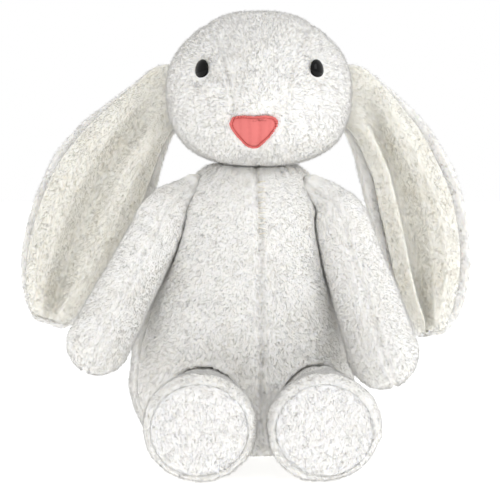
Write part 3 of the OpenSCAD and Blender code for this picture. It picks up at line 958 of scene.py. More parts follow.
@dataclass
class Face:
    """Two domed eyes and a stitched nose, with the dimples and creases they pull."""

    eye_radius: float = 6.3
    eye_dome: float = 0.5
    washer_depth: float = 7.8
    dimple_depth: float = 2.0
    nose_width: float = 27.0
    nose_height: float = 17.0
    nose_thick: float = 1.3
    edge_thread: float = 0.62
    eye_turn: float = 57.0
    eye_lift: float = 5.0
    eye_drop: float = 1.5
    nose_shift: float = -3.4
    eyes: dict[Side, Array] = field(default_factory=dict)

    def __post_init__(self) -> None:
        for side in Side:
            low, high = box_mm(f"eye_washer_{side.word}")
            inner = (low + high) / 2
            low, high = box_mm(f"eye_{side.word}")
            self.eyes[side] = inner + unit((low + high) / 2 - inner) * self.washer_depth
            self.eyes[side] = self.eyes[side] - np.array([0.0, 0.0, self.eye_drop])
        low, high = box_mm("nose_patch")
        self.nose_middle = (low + high) / 2 + np.array([self.nose_shift, 0.0, 0.0])

    def _eye_near(self, p: Array) -> Array:
        """Distance of each point from the nearer eye."""
        return np.min([np.linalg.norm(p - e, axis=1) for e in self.eyes.values()], axis=0)

    def outline(self, a: Array) -> Array:
        """Outline of the nose, as x and z from its middle, at angles a."""
        w, h = self.nose_width / 2, self.nose_height / 2
        corners = np.array([[0.0, 0.93], [0.55, 1.0], [0.9, 0.86], [0.97, 0.4], [0.62, -0.36], [0.28, -0.86],
                            [0.0, -1.0]]) * [w, h]
        ring = np.vstack([corners, corners[-2:0:-1] * [-1, 1]])
        closed = np.vstack([ring, ring[:1]])
        line = catmull(closed, 240)
        angle = np.mod(np.arctan2(line[:, 1], line[:, 0]), FULL_TURN)
        order = np.argsort(angle)
        r = np.linalg.norm(line, axis=1)[order]
        reach = np.interp(np.mod(a, FULL_TURN), angle[order], r, period=FULL_TURN)
        return np.stack([np.cos(a), np.sin(a)], axis=-1) * reach[..., None]

    def nose_share(self, p: Array) -> Array:
        """Distance of each point of the muzzle from the middle of the nose, 1 being on its outline."""
        off = p[:, [0, 2]] - self.nose_middle[[0, 2]]
        a = np.arctan2(off[:, 1], off[:, 0])
        share = np.linalg.norm(off, axis=1) / np.linalg.norm(self.outline(a), axis=1)
        return np.where(p[:, 1] < -40, share, 9.0)

    def hold(self, p: Array) -> Array:
        """How firmly the eyes and the nose hold the cloth at each point."""
        return np.maximum(bump(self._eye_near(p), 0, 12.0), 1 - smooth(self.nose_share(p), 1.0, 1.8))

    def dimple(self, p: Array) -> Array:
        """How deep the eyes and the nose pull the skin in at each point, in mm."""
        return self.dimple_depth * bump(self._eye_near(p), 0, 9.5) + 0.7 * bump(self.nose_share(p), 1.05, 0.16)

    def creases(self, p: Array) -> Array:
        """Fine folds of the cheeks that run from the eyes and the nose, in mm."""
        out = np.zeros(len(p))
        for side, eye in self.eyes.items():
            for turn, size in ((-0.5, 0.55), (-0.95, 0.7), (-1.45, 0.5)):
                way = np.array([side.sign * math.cos(turn), math.sin(turn)])
                off = p[:, [0, 2]] - eye[[0, 2]]
                run = off @ way
                across = off @ np.array([-way[1], way[0]]) - 0.012 * run**2
                faded = smooth(run, 4, 9) * (1 - smooth(run, 16, 30)) * (p[:, 1] < 0)
                out -= size * bump(across, 0, 1.5) * faded
        return out

    def bare(self, p: Array) -> Array:
        """Share of the pile lost at each point."""
        eye = 1 - smooth(self._eye_near(p), self.eye_radius - 1.2, self.eye_radius + 1.6)
        return np.maximum(eye, 1 - smooth(self.nose_share(p), 0.98, 1.12))

    def build(self, skin: Skin) -> None:
        """Puts the eyes and the nose on the finished head skin."""
        tree = surface_of(skin)
        proud = 0.4
        turn, lift = math.radians(self.eye_turn), math.radians(self.eye_lift)
        for side, eye in self.eyes.items():
            place, _ = front_of(tree, float(eye[0]), float(eye[2]))
            flat = [side.sign * math.sin(turn) * math.cos(lift), -math.cos(turn) * math.cos(lift)]
            way = np.array([*flat, math.sin(lift)])
            self._eye(side, place + way * proud, way)
        self._nose(tree)

    def _eye(self, side: Side, place: Array, way: Array) -> None:
        """One eye: a dome with a low skirt, and the stem behind it."""
        r, h = self.eye_radius, self.eye_radius * self.eye_dome
        a = np.linspace(math.pi / 2, 0.0, 14)
        dome = np.stack([h * np.sin(a), r * np.cos(a)], axis=1)[::-1]
        rows = np.vstack([[[-11.5, 0.05], [-11.4, 2.0], [-1.6, 2.2], [-1.2, r * 0.8], [-0.7, r * 0.97]], dome])
        rows[-1, 1] = 0.05
        shape = Tube(np.array([place, place + way * 5.0]), rows, np.array([0.0, 0.0, 1.0]))
        made = dressed(shape.mesh(56).object(f"eye_{side.word}_dome"), EYE)
        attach(made, "head")
        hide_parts(f"eye_{side.word}")
        report(made)

    def _nose(self, tree: BVHTree) -> None:
        """The nose patch, and the stitches round its edge."""
        count, rows = 96, 18
        a = np.arange(count) * 2 * math.pi / count
        edge = self.outline(a)
        front, back = [], []
        for k in range(1, rows + 1):
            share = k / rows
            rise = self.nose_thick * (1 - share**5) * (1 + 0.12 * math.cos(share * 5)) + 0.3
            for target, lift in ((front, rise), (back, 0.12)):
                ring = []
                for x, z in edge * share:
                    p, n = front_of(tree, float(x + self.nose_middle[0]), float(z + self.nose_middle[2]))
                    ring.append(p + n * lift)
                target.append(ring)
        middle, n = front_of(tree, float(self.nose_middle[0]), float(self.nose_middle[2]))
        rings = np.array(back + front[::-1])
        patch = ring_mesh(rings, middle + n * 0.12, middle + n * (self.nose_thick * 1.12 + 0.3))
        turned = Skin(patch.points, patch.faces)
        if (turned.normals()[len(rings) * count - count // 2, 1]) > 0:
            turned = Skin(patch.points, [tuple(reversed(f)) for f in patch.faces])
        made = dressed(turned.object("nose_felt"), NOSE)
        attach(made, "head")
        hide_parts("nose_patch")
        report(made)
        line = self.outline(np.linspace(0, 2 * math.pi, 58, endpoint=False)) * 1.0
        stitches = []
        for i in range(len(line)):
            here, ahead = line[i], line[(i + 1) % len(line)]
            ends = []
            for x, z in (here * 1.035, ahead * 0.93 + (ahead - here) * 0.15):
                p, n = front_of(tree, float(x + self.nose_middle[0]), float(z + self.nose_middle[2]))
                ends.append(p + n * 1.25)
            stitches.append(thread_run(ends[0], ends[1], self.edge_thread, n))
        made = dressed(merged(stitches).object("nose_stitches"), NOSE_EDGE)
        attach(made, "head")
        report(made)


@dataclass
class Neck:
    """The stuffed neck inside the head, with the drawn thread that closes the torso round it."""

    ball: float = 22.5
    stem: float = 14.0
    cord: float = 2.0
    stitches: int = 32
    stitch_turn: float = 0.24

    def __post_init__(self) -> None:
        self.low, self.high = box_mm("neck_core")
        self.middle = joint_mm("neck_turn")
        foot = np.array([self.middle[0], self.middle[1], self.low[2]])
        rise = self.middle[2] - foot[2]
        a = np.linspace(-0.9, 1.5, 12)
        rows = [[0.0, POLE], [0.4, self.stem * 0.8], [1.5, self.stem], [4.5, self.stem]]
        rows += [[rise + self.ball * math.sin(t), self.ball * math.cos(t)] for t in a]
        self.tube = Tube(np.array([foot, self.middle]), np.array(rows + [[rise + self.ball, POLE]]),
                         np.array([0.0, -1.0, 0.0]))

    def build(self) -> None:
        """Builds the neck and its gathering thread."""
        base = self.tube.mesh(40)
        held = 1 - smooth(base.points[:, 2], self.low[2] + 2, self.low[2] + 12)
        full = base.inflated(held, 0.5).finer(1)
        full = Skin(full.points + full.normals() * lumps(full.points, 0.3, 31)[:, None], full.faces)
        comb = np.tile([0.0, 0.0, -1.0], (len(full.points), 1))
        bare = smooth(full.points[:, 2], self.low[2] + 6, self.low[2] + 14)
        Plush("neck", full, PLUSH, "plush", Pile.SHORT, comb, Follow("neck"), ("neck_core",),
              0.85, 131, bare).build()
        self._gathering()

    def _gathering(self) -> None:
        """The drawn thread, as a ring of long stitches that rise and fall by turns."""
        low, high = box_mm("neck_gather")
        reach = (high[0] - low[0]) / 2 - self.cord
        runs = []
        for i, t in enumerate(round_angles(self.stitches)):
            z = low[2] + self.cord + (0.5 if i % 2 else -0.5)
            ends = [np.array([self.middle[0] + reach * math.cos(t + s), self.middle[1] + reach * math.sin(t + s), z])
                    for s in (0.0, self.stitch_turn)]
            runs.append(thread_run(ends[0], ends[1], self.cord / 2, np.array([math.cos(t), math.sin(t), 0.0])))
        made = dressed(merged(runs).object("gathering_thread"), SEAM_THREAD)
        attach(made, "neck")
        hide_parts("neck_gather")
        report(made)


@dataclass
class Ear:
    """A long ear: a plush back whose rims roll forward round a thin near-white lining, whose faint cream tint is
    painted shade for the valley between the rims.
    """

    side: Side
    lean: float
    droop: float
    curl: float
    length: float = 168.0
    width: float = 73.0
    root: float = 19.0
    stations: int = 46
    around: int = 44
    start: float = -13.0
    rim: float = 12.0
    valley: float = 0.0

    def __post_init__(self) -> None:
        self.pivot = joint_mm(f"ear_{self.side.word}_lift")

    def half(self, x: Array) -> Array:
        """Half-width of the laid-out ear at distance x."""
        t = x / self.length
        wide = self.width / 2
        grown = self.root + (wide - self.root) * (1 - np.cos(np.pi * np.clip(t / 0.45, 0, 1))) / 2
        tip = wide * np.sqrt(np.clip(1 - np.clip((t - 0.45) / 0.565, 0, 1) ** 2.4, 0, 1))
        rooted = np.sqrt(np.clip(self.root**2 - x * x, 1, None))
        return np.where(x < 0, rooted, np.where(t < 0.45, grown, tip))

    def middle(self, x: Array) -> tuple[Array, Array]:
        """The middle line at distances x, as points in the X-Z plane, and its lean there in radians."""
        fine = np.linspace(0, self.length, 200)
        lean = np.radians(self.lean - self.droop * np.sin(np.pi / 2 * fine / self.length) ** 0.65)
        step = fine[1] - fine[0]
        run = np.stack([np.sin(lean), -np.cos(lean)], axis=1)
        line = np.vstack([[0, 0], np.cumsum((run[1:] + run[:-1]) / 2 * step, axis=0)])
        xs = np.clip(x, 0, self.length)
        m = np.stack([np.interp(xs, fine, line[:, k]) for k in (0, 1)], axis=-1)
        return m + np.minimum(x, 0)[..., None] * run[0], np.interp(xs, fine, lean)

    def point(self, x: Array, s: Array, d: Array) -> Array:
        """Points at distance x along, share s across and depth d in front of the back face."""
        m, a = self.middle(x)
        c = self.curl * np.clip(x, 0, None) / (self.length * 0.35)
        c = np.radians(np.maximum(np.minimum(c, self.curl) * (1 - 0.35 * np.clip(x, 0, None) / self.length), 0.5))
        r = self.half(x) * 2 / c
        w = (r - d) * np.sin(s * c / 2)
        f = r - (r - d) * np.cos(s * c / 2)
        back = self.pivot[1] + 4.0
        return np.stack([self.pivot[0] + self.side.sign * (m[..., 0] + w * np.cos(a)), back - f,
                         self.pivot[2] + m[..., 1] + w * np.sin(a)], axis=-1)

    def layer(self, share: float, d0: float, d1: float, rim: float, base: float,
              ends: tuple[float, float]) -> Skin:
        """One layer of the ear as a closed pad.

        Args:
            share: its width as a share of the ear's.
            d0: depth of its back.
            d1: depth of its front.
            rim: how far its two lobes puff forward beside the valley.
            base: share of that puff on its back face.
            ends: distances along the ear where it begins and ends.

        Returns:
            The pad.
        """
        t = (1 - np.cos(np.linspace(0.06, math.pi - 0.06, self.stations))) / 2
        x = (ends[0] + (ends[1] - ends[0]) * t)[:, None]
        a = (round_angles(self.around))[None]
        taper = np.minimum(1, np.sqrt(np.maximum(np.minimum(x - ends[0], ends[1] - x), 0.2) / 9))
        s = signed_power(np.cos(a), 0.75) * share
        thick = (d1 - d0) / 2 * taper
        d = (d0 + d1) / 2 + thick * signed_power(np.sin(a), 0.7)
        off = np.abs(s - self.valley * smooth(x, 0, 60))
        lobes = smooth(off, 0.02, 0.42) * (1 - 0.6 * smooth(np.abs(s), 0.7, 1.0))
        front = np.clip(np.sin(a), 0, 1) ** 0.5
        d = d + rim * lobes * smooth(x, 4, 34) * taper * (base + (1 - base) * front)
        grid = self.point(x + 0 * a, s + 0 * x, d)
        tips = [self.point(np.array(e), np.array(0.0), np.array((d0 + d1) / 2)) for e in ends]
        skin = ring_mesh(grid, tips[0], tips[1])
        if self.side is Side.RIGHT:
            skin = reversed_faces(skin)
        return skin

    def holds(self, p: Array) -> Array:
        """Whether each point lies where the root passes into the head."""
        off = p - self.pivot
        flat = np.hypot(off[:, 0], off[:, 2]) < self.root + 12
        return flat & (off[:, 1] < 5.5) & (off[:, 1] > -7.0) & self._beside(p)

    def _beside(self, p: Array) -> Array:
        """Whether each point lies within the ear's outline as seen from the front."""
        fine = np.linspace(self.start, 40, 60)
        m, a = self.middle(fine)
        q = (p[:, [0, 2]] - self.pivot[[0, 2]]) * [self.side.sign, 1]
        best = np.full(len(p), FAR)
        for k in range(len(fine)):
            along = (q - m[k]) @ np.array([math.sin(a[k]), -math.cos(a[k])])
            across = np.abs((q - m[k]) @ np.array([math.cos(a[k]), math.sin(a[k])]))
            score = np.maximum(np.abs(along) - 1.0, across - self.half(fine[k : k + 1])[0] - 1.0)
            best = np.minimum(best, score)
        return best < 0

    def build(self) -> None:
        """Builds both layers of the ear."""
        word = self.side.word
        m, a = self.middle(np.array([2.0, 26.0]))
        ends = [np.array([self.pivot[0] + self.side.sign * m[k, 0], self.pivot[1], self.pivot[2] + m[k, 1]])
                for k in (0, 1)]
        follow = Follow("head", f"ear_{word}", metres(ends[0]), metres(ends[1]))
        seed = 300 if self.side is Side.LEFT else 340
        for name, layer, finish, slot, pile, fill, node in (
            (f"ear_{word}", self.layer(1.0, -0.6, 4.0, self.rim * 0.6, 0.0, (self.start, self.length)), PLUSH,
             "plush", Pile.LONG, 0.3, f"ear_{word}_back"),
            # The lining's faint cream tint is painted shade for the valley between the rolled rims.
            (f"ear_{word}_inner", self.layer(0.955, 4.7, 8.0, self.rim, 0.7, (self.start + 2, self.length * 0.98)),
             LINING_WITH_PAINTED_VALLEY_SHADE, "lining", Pile.LONG, 0.3, f"ear_{word}_lining"),
        ):
            off = layer.points - self.pivot
            held = 1 - smooth(np.linalg.norm(off, axis=1), 18, 40)
            if slot == "lining":
                held = np.maximum(held, 0.6)
            full = layer.inflated(np.maximum(held, 0.35), 1.2).finer(2)
            p, n = full.points, full.normals()
            reach = np.linalg.norm(p - self.pivot, axis=1)
            folds = 0.9 * noise(p * np.array([1.0, 0.6, 0.35]), 9.0, seed + 7) * smooth(reach, 20, 60)
            amount = 0.5 if slot == "lining" else 0.8
            skin = Skin(p + n * (amount * (folds + lumps(p, 0.8, seed)) * 0.7)[:, None], full.faces)
            _, lean = self.middle(np.clip(reach, 0, self.length))
            comb = np.stack([self.side.sign * np.sin(lean), 0 * lean, -np.cos(lean)], axis=1)
            bare = 1 - smooth(reach, 12, 22)
            bare = np.where(p[:, 0] * self.side.sign < 57, bare, 0.0)
            Plush(name, skin, finish, slot, pile, comb, follow, (node,), fill, seed + 20, bare).build()
            seed += 5


@dataclass
class Arm:
    """An arm that hangs from its shoulder and ends in a round paw."""

    side: Side
    out: float
    paw: float
    length: float = 100.0
    fore: float = 22.0
    root: float = 9.5
    sleeve: float = 13.2

    def __post_init__(self) -> None:
        self.pivot = joint_mm(f"shoulder_{self.side.word}")
        o, f = math.radians(self.out), math.radians(self.fore)
        down = np.array([self.side.sign * math.sin(o), -math.cos(o) * math.sin(f), -math.cos(o) * math.cos(f)])
        inner = self.pivot + np.array([-self.side.sign * 13.0, 5.0, 9.0])
        self.line = catmull(np.vstack([inner, self.pivot + down * 4, self.pivot + down * 35,
                                       self.pivot + down * 70, self.pivot + down * self.length]), 40)
        self.down = down
        first = float(np.linalg.norm(inner - self.pivot - down * 4))
        total = first + self.length - 4
        r, p, s = self.root, self.paw, self.sleeve
        rows = [(-r * math.cos(a), r * math.sin(a)) for a in np.linspace(0.02, 1.3, 6)]
        rows += [(first * 0.55, r + 1.8), (first + 6, s - 0.4), (first + 28, s + 0.4), (first + 50, (s + p) / 2)]
        rows += [(total - 18, p - 0.8)]
        rows += [(total + p * math.sin(a), p * math.cos(a)) for a in np.linspace(-0.2, 1.55, 9)]
        self.tube = Tube(self.line, swept(rows, 44), np.array([0.0, -1.0, 0.0]))

    def build(self) -> None:
        """Builds the arm."""
        word = self.side.word
        base = self.tube.mesh(32)
        d, angle, r = self.tube.places(base.points)
        seam = np.minimum(np.abs(angle), math.pi - np.abs(angle)) * r
        held = np.maximum(bump(seam, 0, 3.0), 1 - smooth(d, 10, 30))
        full = base.inflated(held, 1.6).finer(2)
        p, n = full.points, full.normals()
        d, angle, r = self.tube.places(p)
        seam = np.minimum(np.abs(angle), math.pi - np.abs(angle)) * r
        seed = 500 if self.side is Side.LEFT else 540
        folds = 0.8 * noise(p * np.array([0.45, 0.6, 1.3]), 7.0, seed) * (1 - smooth(d, 30, 70))
        shift = lumps(p, 0.9, seed + 1) - 0.9 * bump(seam, 0, 1.7) + folds
        skin = Skin(p + n * shift[:, None], full.faces)
        comb = self.tube.along(d)
        ends = [self.pivot - self.down * 4, self.pivot + self.down * 26]
        follow = Follow("torso", f"arm_{word}", metres(ends[0]), metres(ends[1]))
        bare = 0.9 * (1 - smooth(d, -4, 4))
        Plush(f"arm_{word}", skin, PLUSH, "plush", Pile.LONG, comb, follow,
              (f"arm_{word}_outer", f"arm_{word}_inner", f"arm_{word}_stuffing"), 0.7, seed + 11, bare).build()


@dataclass
class Leg:
    """A stout leg that lies forward, with a round sole set in its rim."""

    side: Side
    sole: float = 32.0
    thigh: float = 21.5
    panel: float = 27.0
    sag: float = 0.06

    def __post_init__(self) -> None:
        self.pivot = joint_mm(f"hip_{self.side.word}")
        low, high = box_mm(f"leg_{self.side.word}_sole")
        self.tip = -low[1]
        run = self.pivot[1] + self.tip
        ahead = np.array([0.0, -1.0, 0.0])
        start = self.pivot + np.array([0.0, 8.0, 0.0])
        self.line = np.array([start, self.pivot + ahead * 30, self.pivot + ahead * run])
        s, t = self.sole, self.thigh
        total = 8.0 + run
        rows = [(-20.0, 0.3), (-17.0, t * 0.55), (-8.0, t * 0.93), (6.0, t * 1.1), (22.0, t * 1.06),
                (total - 55, t * 1.16), (total - 32, s * 0.93), (total - 15, s), (total - 6.5, s * 0.985),
                (total - 1.5, s * 0.93), (total + 0.4, s * 0.86), (total - 0.5, self.panel - 0.6),
                (total - 1.2, self.panel - 3.5)]
        self.total = total
        smoothed = swept(rows, 46)
        self.tube = Tube(self.line, np.vstack([smoothed, [[total - 1.5, self.panel - 9], [total - 1.6, 0.3]]]),
                         np.array([0.0, 0.0, 1.0]))
        grown = np.array(rows[:9] + [(total, s * 0.9), (total + 3, 5.0)])
        self.shape = Tube(self.line, grown, np.array([0.0, 0.0, 1.0]))

    def _flattened(self, p: Array) -> Array:
        """Points kept above the surface the toy sits on."""
        out = p.copy()
        low = 0.4
        sunk = np.clip(low + 2.5 - p[:, 2], 0, None)
        out[:, 2] = np.where(sunk > 0, low + 2.5 * np.exp(-sunk / 2.5), p[:, 2])
        return out

    def settled(self, p: Array) -> Array:
        """Points lowered a little toward the sole, where the foot sags under its own weight."""
        out = p.copy()
        out[:, 2] *= 1 - self.sag * smooth(-p[:, 1], self.tip - 60, self.tip - 25)
        return out

    def build(self, neighbours: Callable[[Array], Array]) -> None:
        """Builds the leg and its sole."""
        word = self.side.word
        seed = 700 if self.side is Side.LEFT else 740
        ends = [self.pivot + np.array([0.0, 4.0, 0.0]), self.pivot - np.array([0.0, 26.0, 0.0])]
        follow = Follow("torso", f"leg_{word}", metres(ends[0]), metres(ends[1]))
        base = self.tube.mesh(40)
        front = -self.tip
        off = base.points - self.pivot
        radius = np.hypot(off[:, 0], off[:, 2])
        y = base.points[:, 1]
        held = np.maximum(bump(y, front, 7.0), smooth(y, self.pivot[1] - 8, self.pivot[1] + 6))
        full = base.inflated(np.clip(held, 0, 1), 2.0).finer(2)
        p, n = full.points, full.normals()
        off = p - self.pivot
        angle = np.arctan2(off[:, 2], off[:, 0] * self.side.sign)
        radius = np.hypot(off[:, 0], off[:, 2])
        seam = np.minimum(np.abs(np.abs(angle) - math.pi / 2), 9) * radius
        rim = smooth(-p[:, 1], self.tip - 16, self.tip - 3)
        wave = 0.75 * noise(np.stack([angle * 9, 0.25 * p[:, 1], radius * 0.1], axis=1), 1.6, seed) * rim
        inner = bump(angle, 2.2, 0.8)
        pleat = 0.9 * noise(np.stack([angle * 14, 0.12 * p[:, 1], 0 * angle], axis=1), 1.6, seed + 3) * rim * inner
        shift = lumps(p, 1.0, seed + 5) - 0.8 * bump(seam, 0, 1.7) * (1 - rim) + wave + pleat
        shift = shift * smooth(radius, 4, 14)
        skin = Skin(self.settled(self._flattened(p + n * shift[:, None])), full.faces)
        axis = np.stack([0 * p[:, 0] + self.pivot[0], p[:, 1], 0 * p[:, 0] + self.pivot[2]], axis=1)
        skin, _ = pressed(skin, unit(axis - p + 1e-6), neighbours, 8.0)
        comb = np.tile([0.0, -1.0, -0.25], (len(p), 1))
        bare = np.maximum(np.where((radius < self.panel - 2.5) & (-p[:, 1] > self.tip - 9), 1.0, 0.0),
                          smooth(p[:, 1], self.pivot[1] - 2, self.pivot[1] + 8))
        Plush(f"leg_{word}", skin, PLUSH, "plush", Pile.LONG, comb, follow,
              (f"leg_{word}_outer", f"leg_{word}_inner", f"leg_{word}_stuffing"), 0.8, seed + 11, bare).build()
        self._sole(seed + 20)

    def _sole(self, seed: int) -> None:
        """The round sole: a low cushion whose edge is sewn into the rim of the leg."""
        word = self.side.word
        r = self.panel + 0.6
        top = self.total + 3.0
        rows = [(top - 3.7, 0.3), (top - 3.6, r * 0.5), (top - 3.3, r * 0.9), (top - 2.6, r * 0.985),
                (top - 1.7, r * 0.96), (top - 0.8, r * 0.84), (top - 0.2, r * 0.6), (top, r * 0.3), (top + 0.1, 0.3)]
        tube = Tube(self.line, swept(rows, 26), np.array([0.0, 0.0, 1.0]))
        base = tube.mesh(40)
        off = base.points - self.pivot
        radius = np.hypot(off[:, 0], off[:, 2])
        held = smooth(radius, r * 0.8, r) + smooth(base.points[:, 1], -self.tip + 1.5, -self.tip + 3)
        full = base.inflated(np.clip(held, 0, 1), 1.6).finer(2)
        p, n = full.points, full.normals()
        off = p - self.pivot
        radius = np.hypot(off[:, 0], off[:, 2])
        shift = (lumps(p, 0.8, seed) + 0.35 * noise(p, 5.0, seed + 4)) * (n[:, 1] < 0.2) * smooth(r - radius, 0, 3)
        skin = Skin(self.settled(p + n * shift[:, None]), full.faces)
        comb = np.tile([0.0, 0.0, -1.0], (len(p), 1))
        bare = np.where(n[:, 1] > 0.1, 1.0, 0.0)
        Plush(f"sole_{word}", skin, SOLE, "sole", Pile.LONG, comb, Follow(f"leg_{word}"), (f"leg_{word}_sole",),
              0.7, seed + 6, bare).build()


@dataclass
class Torso:
    """The pear-shaped torso, sewn from two front panels and one back, and the round tail behind it."""

    widest: float = 44.0
    seat: float = 46.0
    top: float = 177.0
    top_half: float = 23.0
    taper: float = 1.15
    slump: float = -7.0
    fuller: float = 1.5
    turn: float = 6.0
    side_seam: float = 14.0
    tail: float = 17.0
    rings: int = 46
    around: int = 84

    def __post_init__(self) -> None:
        low, high = box_mm("torso_front_left", "torso_front_right", "torso_back")
        self.centre = (low + high) / 2
        self.half = (high[0] - low[0]) / 2 + self.fuller
        self.depth = (high[1] - low[1]) / (high[0] - low[0])

    def radius(self, z: Array) -> Array:
        """Half-width of the torso at height z."""
        low = self.seat + (self.half - self.seat) * np.sqrt(np.clip(1 - (1 - z / self.widest) ** 2, 0, 1))
        t = np.clip((z - self.widest) / (self.top - self.widest), 0, 1)
        high = self.top_half + (self.half - self.top_half) * np.sqrt(np.clip(1 - t**self.taper, 0, 1))
        return np.where(z < self.widest, low, high)

    def _world(self, local: Array) -> Array:
        """Points in the torso's own axes as points of the frame."""
        c, s = math.cos(math.radians(self.turn)), math.sin(math.radians(self.turn))
        x, y = local[..., 0], local[..., 1]
        return np.stack([self.centre[0] + c * x - s * y, self.centre[1] + s * x + c * y, local[..., 2]], axis=-1)

    def _local(self, p: Array) -> Array:
        """Points of the frame in the torso's own axes."""
        c, s = math.cos(math.radians(self.turn)), math.sin(math.radians(self.turn))
        x, y = p[:, 0] - self.centre[0], p[:, 1] - self.centre[1]
        return np.stack([c * x + s * y, -s * x + c * y, p[:, 2]], axis=1)

    def build(self, neighbours: Callable[[Array], Array]) -> None:
        """Builds the torso, its seam stitches and the tail."""
        t = (1 - np.cos(np.linspace(0.0, math.pi, self.rings))) / 2
        z = 0.4 + (self.top - 0.4) * t
        r = self.radius(z)
        z = np.concatenate([[0.4, 0.4, 0.4], z, [self.top + 0.3, self.top + 0.3]])
        r = np.concatenate([[12.0, 26.0, 38.0], r, [self.top_half * 0.7, self.top_half * 0.35]])
        a = round_angles(self.around)
        local = np.stack([r[:, None] * np.cos(a), self.depth * r[:, None] * np.sin(a), z[:, None] + 0 * a], axis=-1)
        tips = self._world(np.array([[0.0, 0.0, 0.4], [0.0, 0.0, self.top + 0.3]]))
        placed = self._world(local)
        placed[..., 0] += self.slump * bump(local[..., 2], 50, 45)
        base = ring_mesh(placed, tips[0], tips[1])
        seam = self._seams(base.points)
        held = np.maximum(bump(seam, 0, 4.0), 1 - smooth(base.points[:, 2], 2, 14))
        held = np.maximum(held, smooth(base.points[:, 2], self.top - 14, self.top - 4))
        full = base.inflated(held, 2.6).finer(2)
        p, n = full.points, full.normals()
        seam = self._seams(p)
        front = self._front(p)
        groove = 1.9 * bump(seam, 0, 2.2) + 0.9 * bump(front, 0, 7.0) * (1 - smooth(p[:, 2], 60, 120))
        pucker = 0.5 * noise(p * np.array([0.35, 0.35, 1.5]), 4.5, 91) * bump(front, 0, 9.0)
        belly = 0.9 * noise(p * np.array([0.35, 0.4, 1.2]), 9.0, 95) * bump(p[:, 2], 52, 26) * (n[:, 1] < 0)
        neck = 1.0 * noise(np.stack([np.arctan2(p[:, 1], p[:, 0]) * 16, 0 * seam, 0.1 * p[:, 2]], axis=1), 1.5, 97)
        shift = lumps(p, 1.2, 41) - groove + pucker + belly + neck * smooth(p[:, 2], self.top - 16, self.top - 4)
        shift *= smooth(p[:, 2], 0.5, 10)
        moved = p + n * shift[:, None]
        moved[:, 2] = np.maximum(moved[:, 2], 0.3)
        skin = Skin(moved, full.faces)
        core = np.stack([0 * p[:, 0] + self.centre[0], 0 * p[:, 0] + self.centre[1],
                         np.clip(p[:, 2] - 6, 40, 110)], axis=1)
        skin, gone = pressed(skin, unit(core - skin.points), neighbours, 60.0)
        spread = 0.35 * np.sign(p[:, 0]) * smooth(np.abs(p[:, 0]), 2, 30)
        comb = np.stack([spread, 0 * front, -np.ones(len(p))], axis=1)
        bare = np.clip(np.maximum(gone / 3, 1 - smooth(p[:, 2], 0.6, 2.0)), 0, 1)
        Plush("torso", skin, PLUSH, "plush", Pile.LONG, comb, Follow("torso"),
              ("torso_front_left", "torso_front_right", "torso_back", "torso_stuffing"), 0.8, 141, bare).build()
        self._stitches(surface_of(skin))
        self._tail()

    def _angle(self, p: Array) -> Array:
        """Angle of each point round the torso's axis, in degrees."""
        q = self._local(p)
        return np.degrees(np.arctan2(q[:, 1] / self.depth, q[:, 0]))

    def _front(self, p: Array) -> Array:
        """Distance of each point from the front seam, in mm."""
        q = self._local(p)
        return np.where(q[:, 1] < 0, np.abs(q[:, 0]), FAR)

    def _seams(self, p: Array) -> Array:
        """Distance of each point from the nearest seam, in mm."""
        a = self._angle(p)
        side = np.minimum(np.abs(a + self.side_seam), np.abs(np.abs(a) - (180 - self.side_seam)) + 90 * (a > 0))
        return np.minimum(self._front(p), np.radians(side) * self.radius(p[:, 2]))

    def _stitches(self, tree: BVHTree) -> None:
        """The ladder stitches that close the front seam below the neck."""
        runs = []
        seam_x = float(self._world(np.array([0.0, -self.half * self.depth, 0.0]))[0])
        for i in range(11):
            z = 136.0 + 3.1 * i
            ends = []
            for x in (-1.9, 1.9):
                p, n = front_of(tree, seam_x + x, z + 0.35 * (1 if (i + (x > 0)) % 2 else -1))
                ends.append(p + n * 0.5)
            runs.append(thread_run(ends[0], ends[1], 0.34, n))
        made = dressed(merged(runs).object("seam_stitches"), SEAM_THREAD)
        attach(made, "torso")
        report(made)

    def _tail(self) -> None:
        """The round tail."""
        low, high = box_mm("tail_skin")
        middle = np.array([(low[0] + high[0]) / 2, low[1] + 3.0, (low[2] + high[2]) / 2])
        out = unit(np.array([-math.sin(math.radians(self.turn)), math.cos(math.radians(self.turn)), 0.0]))
        a = np.linspace(-0.28, math.pi / 2, 16)
        rows = [(-4.0, 0.3), (-3.9, self.tail * 0.6)]
        rows += [(self.tail * 0.95 * math.sin(t), self.tail * 0.97 * math.cos(t) + 0.2) for t in a]
        tube = Tube(np.array([middle, middle + out * self.tail]), np.array(rows), np.array([0.0, 0.0, 1.0]))
        base = tube.mesh(36)
        held = 1 - smooth((base.points - middle) @ out, 0, 5)
        full = base.inflated(held, 1.5).finer(2)
        p, n = full.points, full.normals()
        away = (p - middle) @ out
        skin = Skin(p + n * (lumps(p, 1.0, 61) * smooth(away, -1, 4))[:, None], full.faces)
        comb = p - middle + np.array([0.0, 0.0, -14.0])
        bare = 1 - smooth(away, -3, 0)
        Plush("tail", skin, PLUSH, "plush", Pile.LONG, comb, Follow("torso"), ("tail_skin", "tail_stuffing"),
              0.7, 161, bare).build()


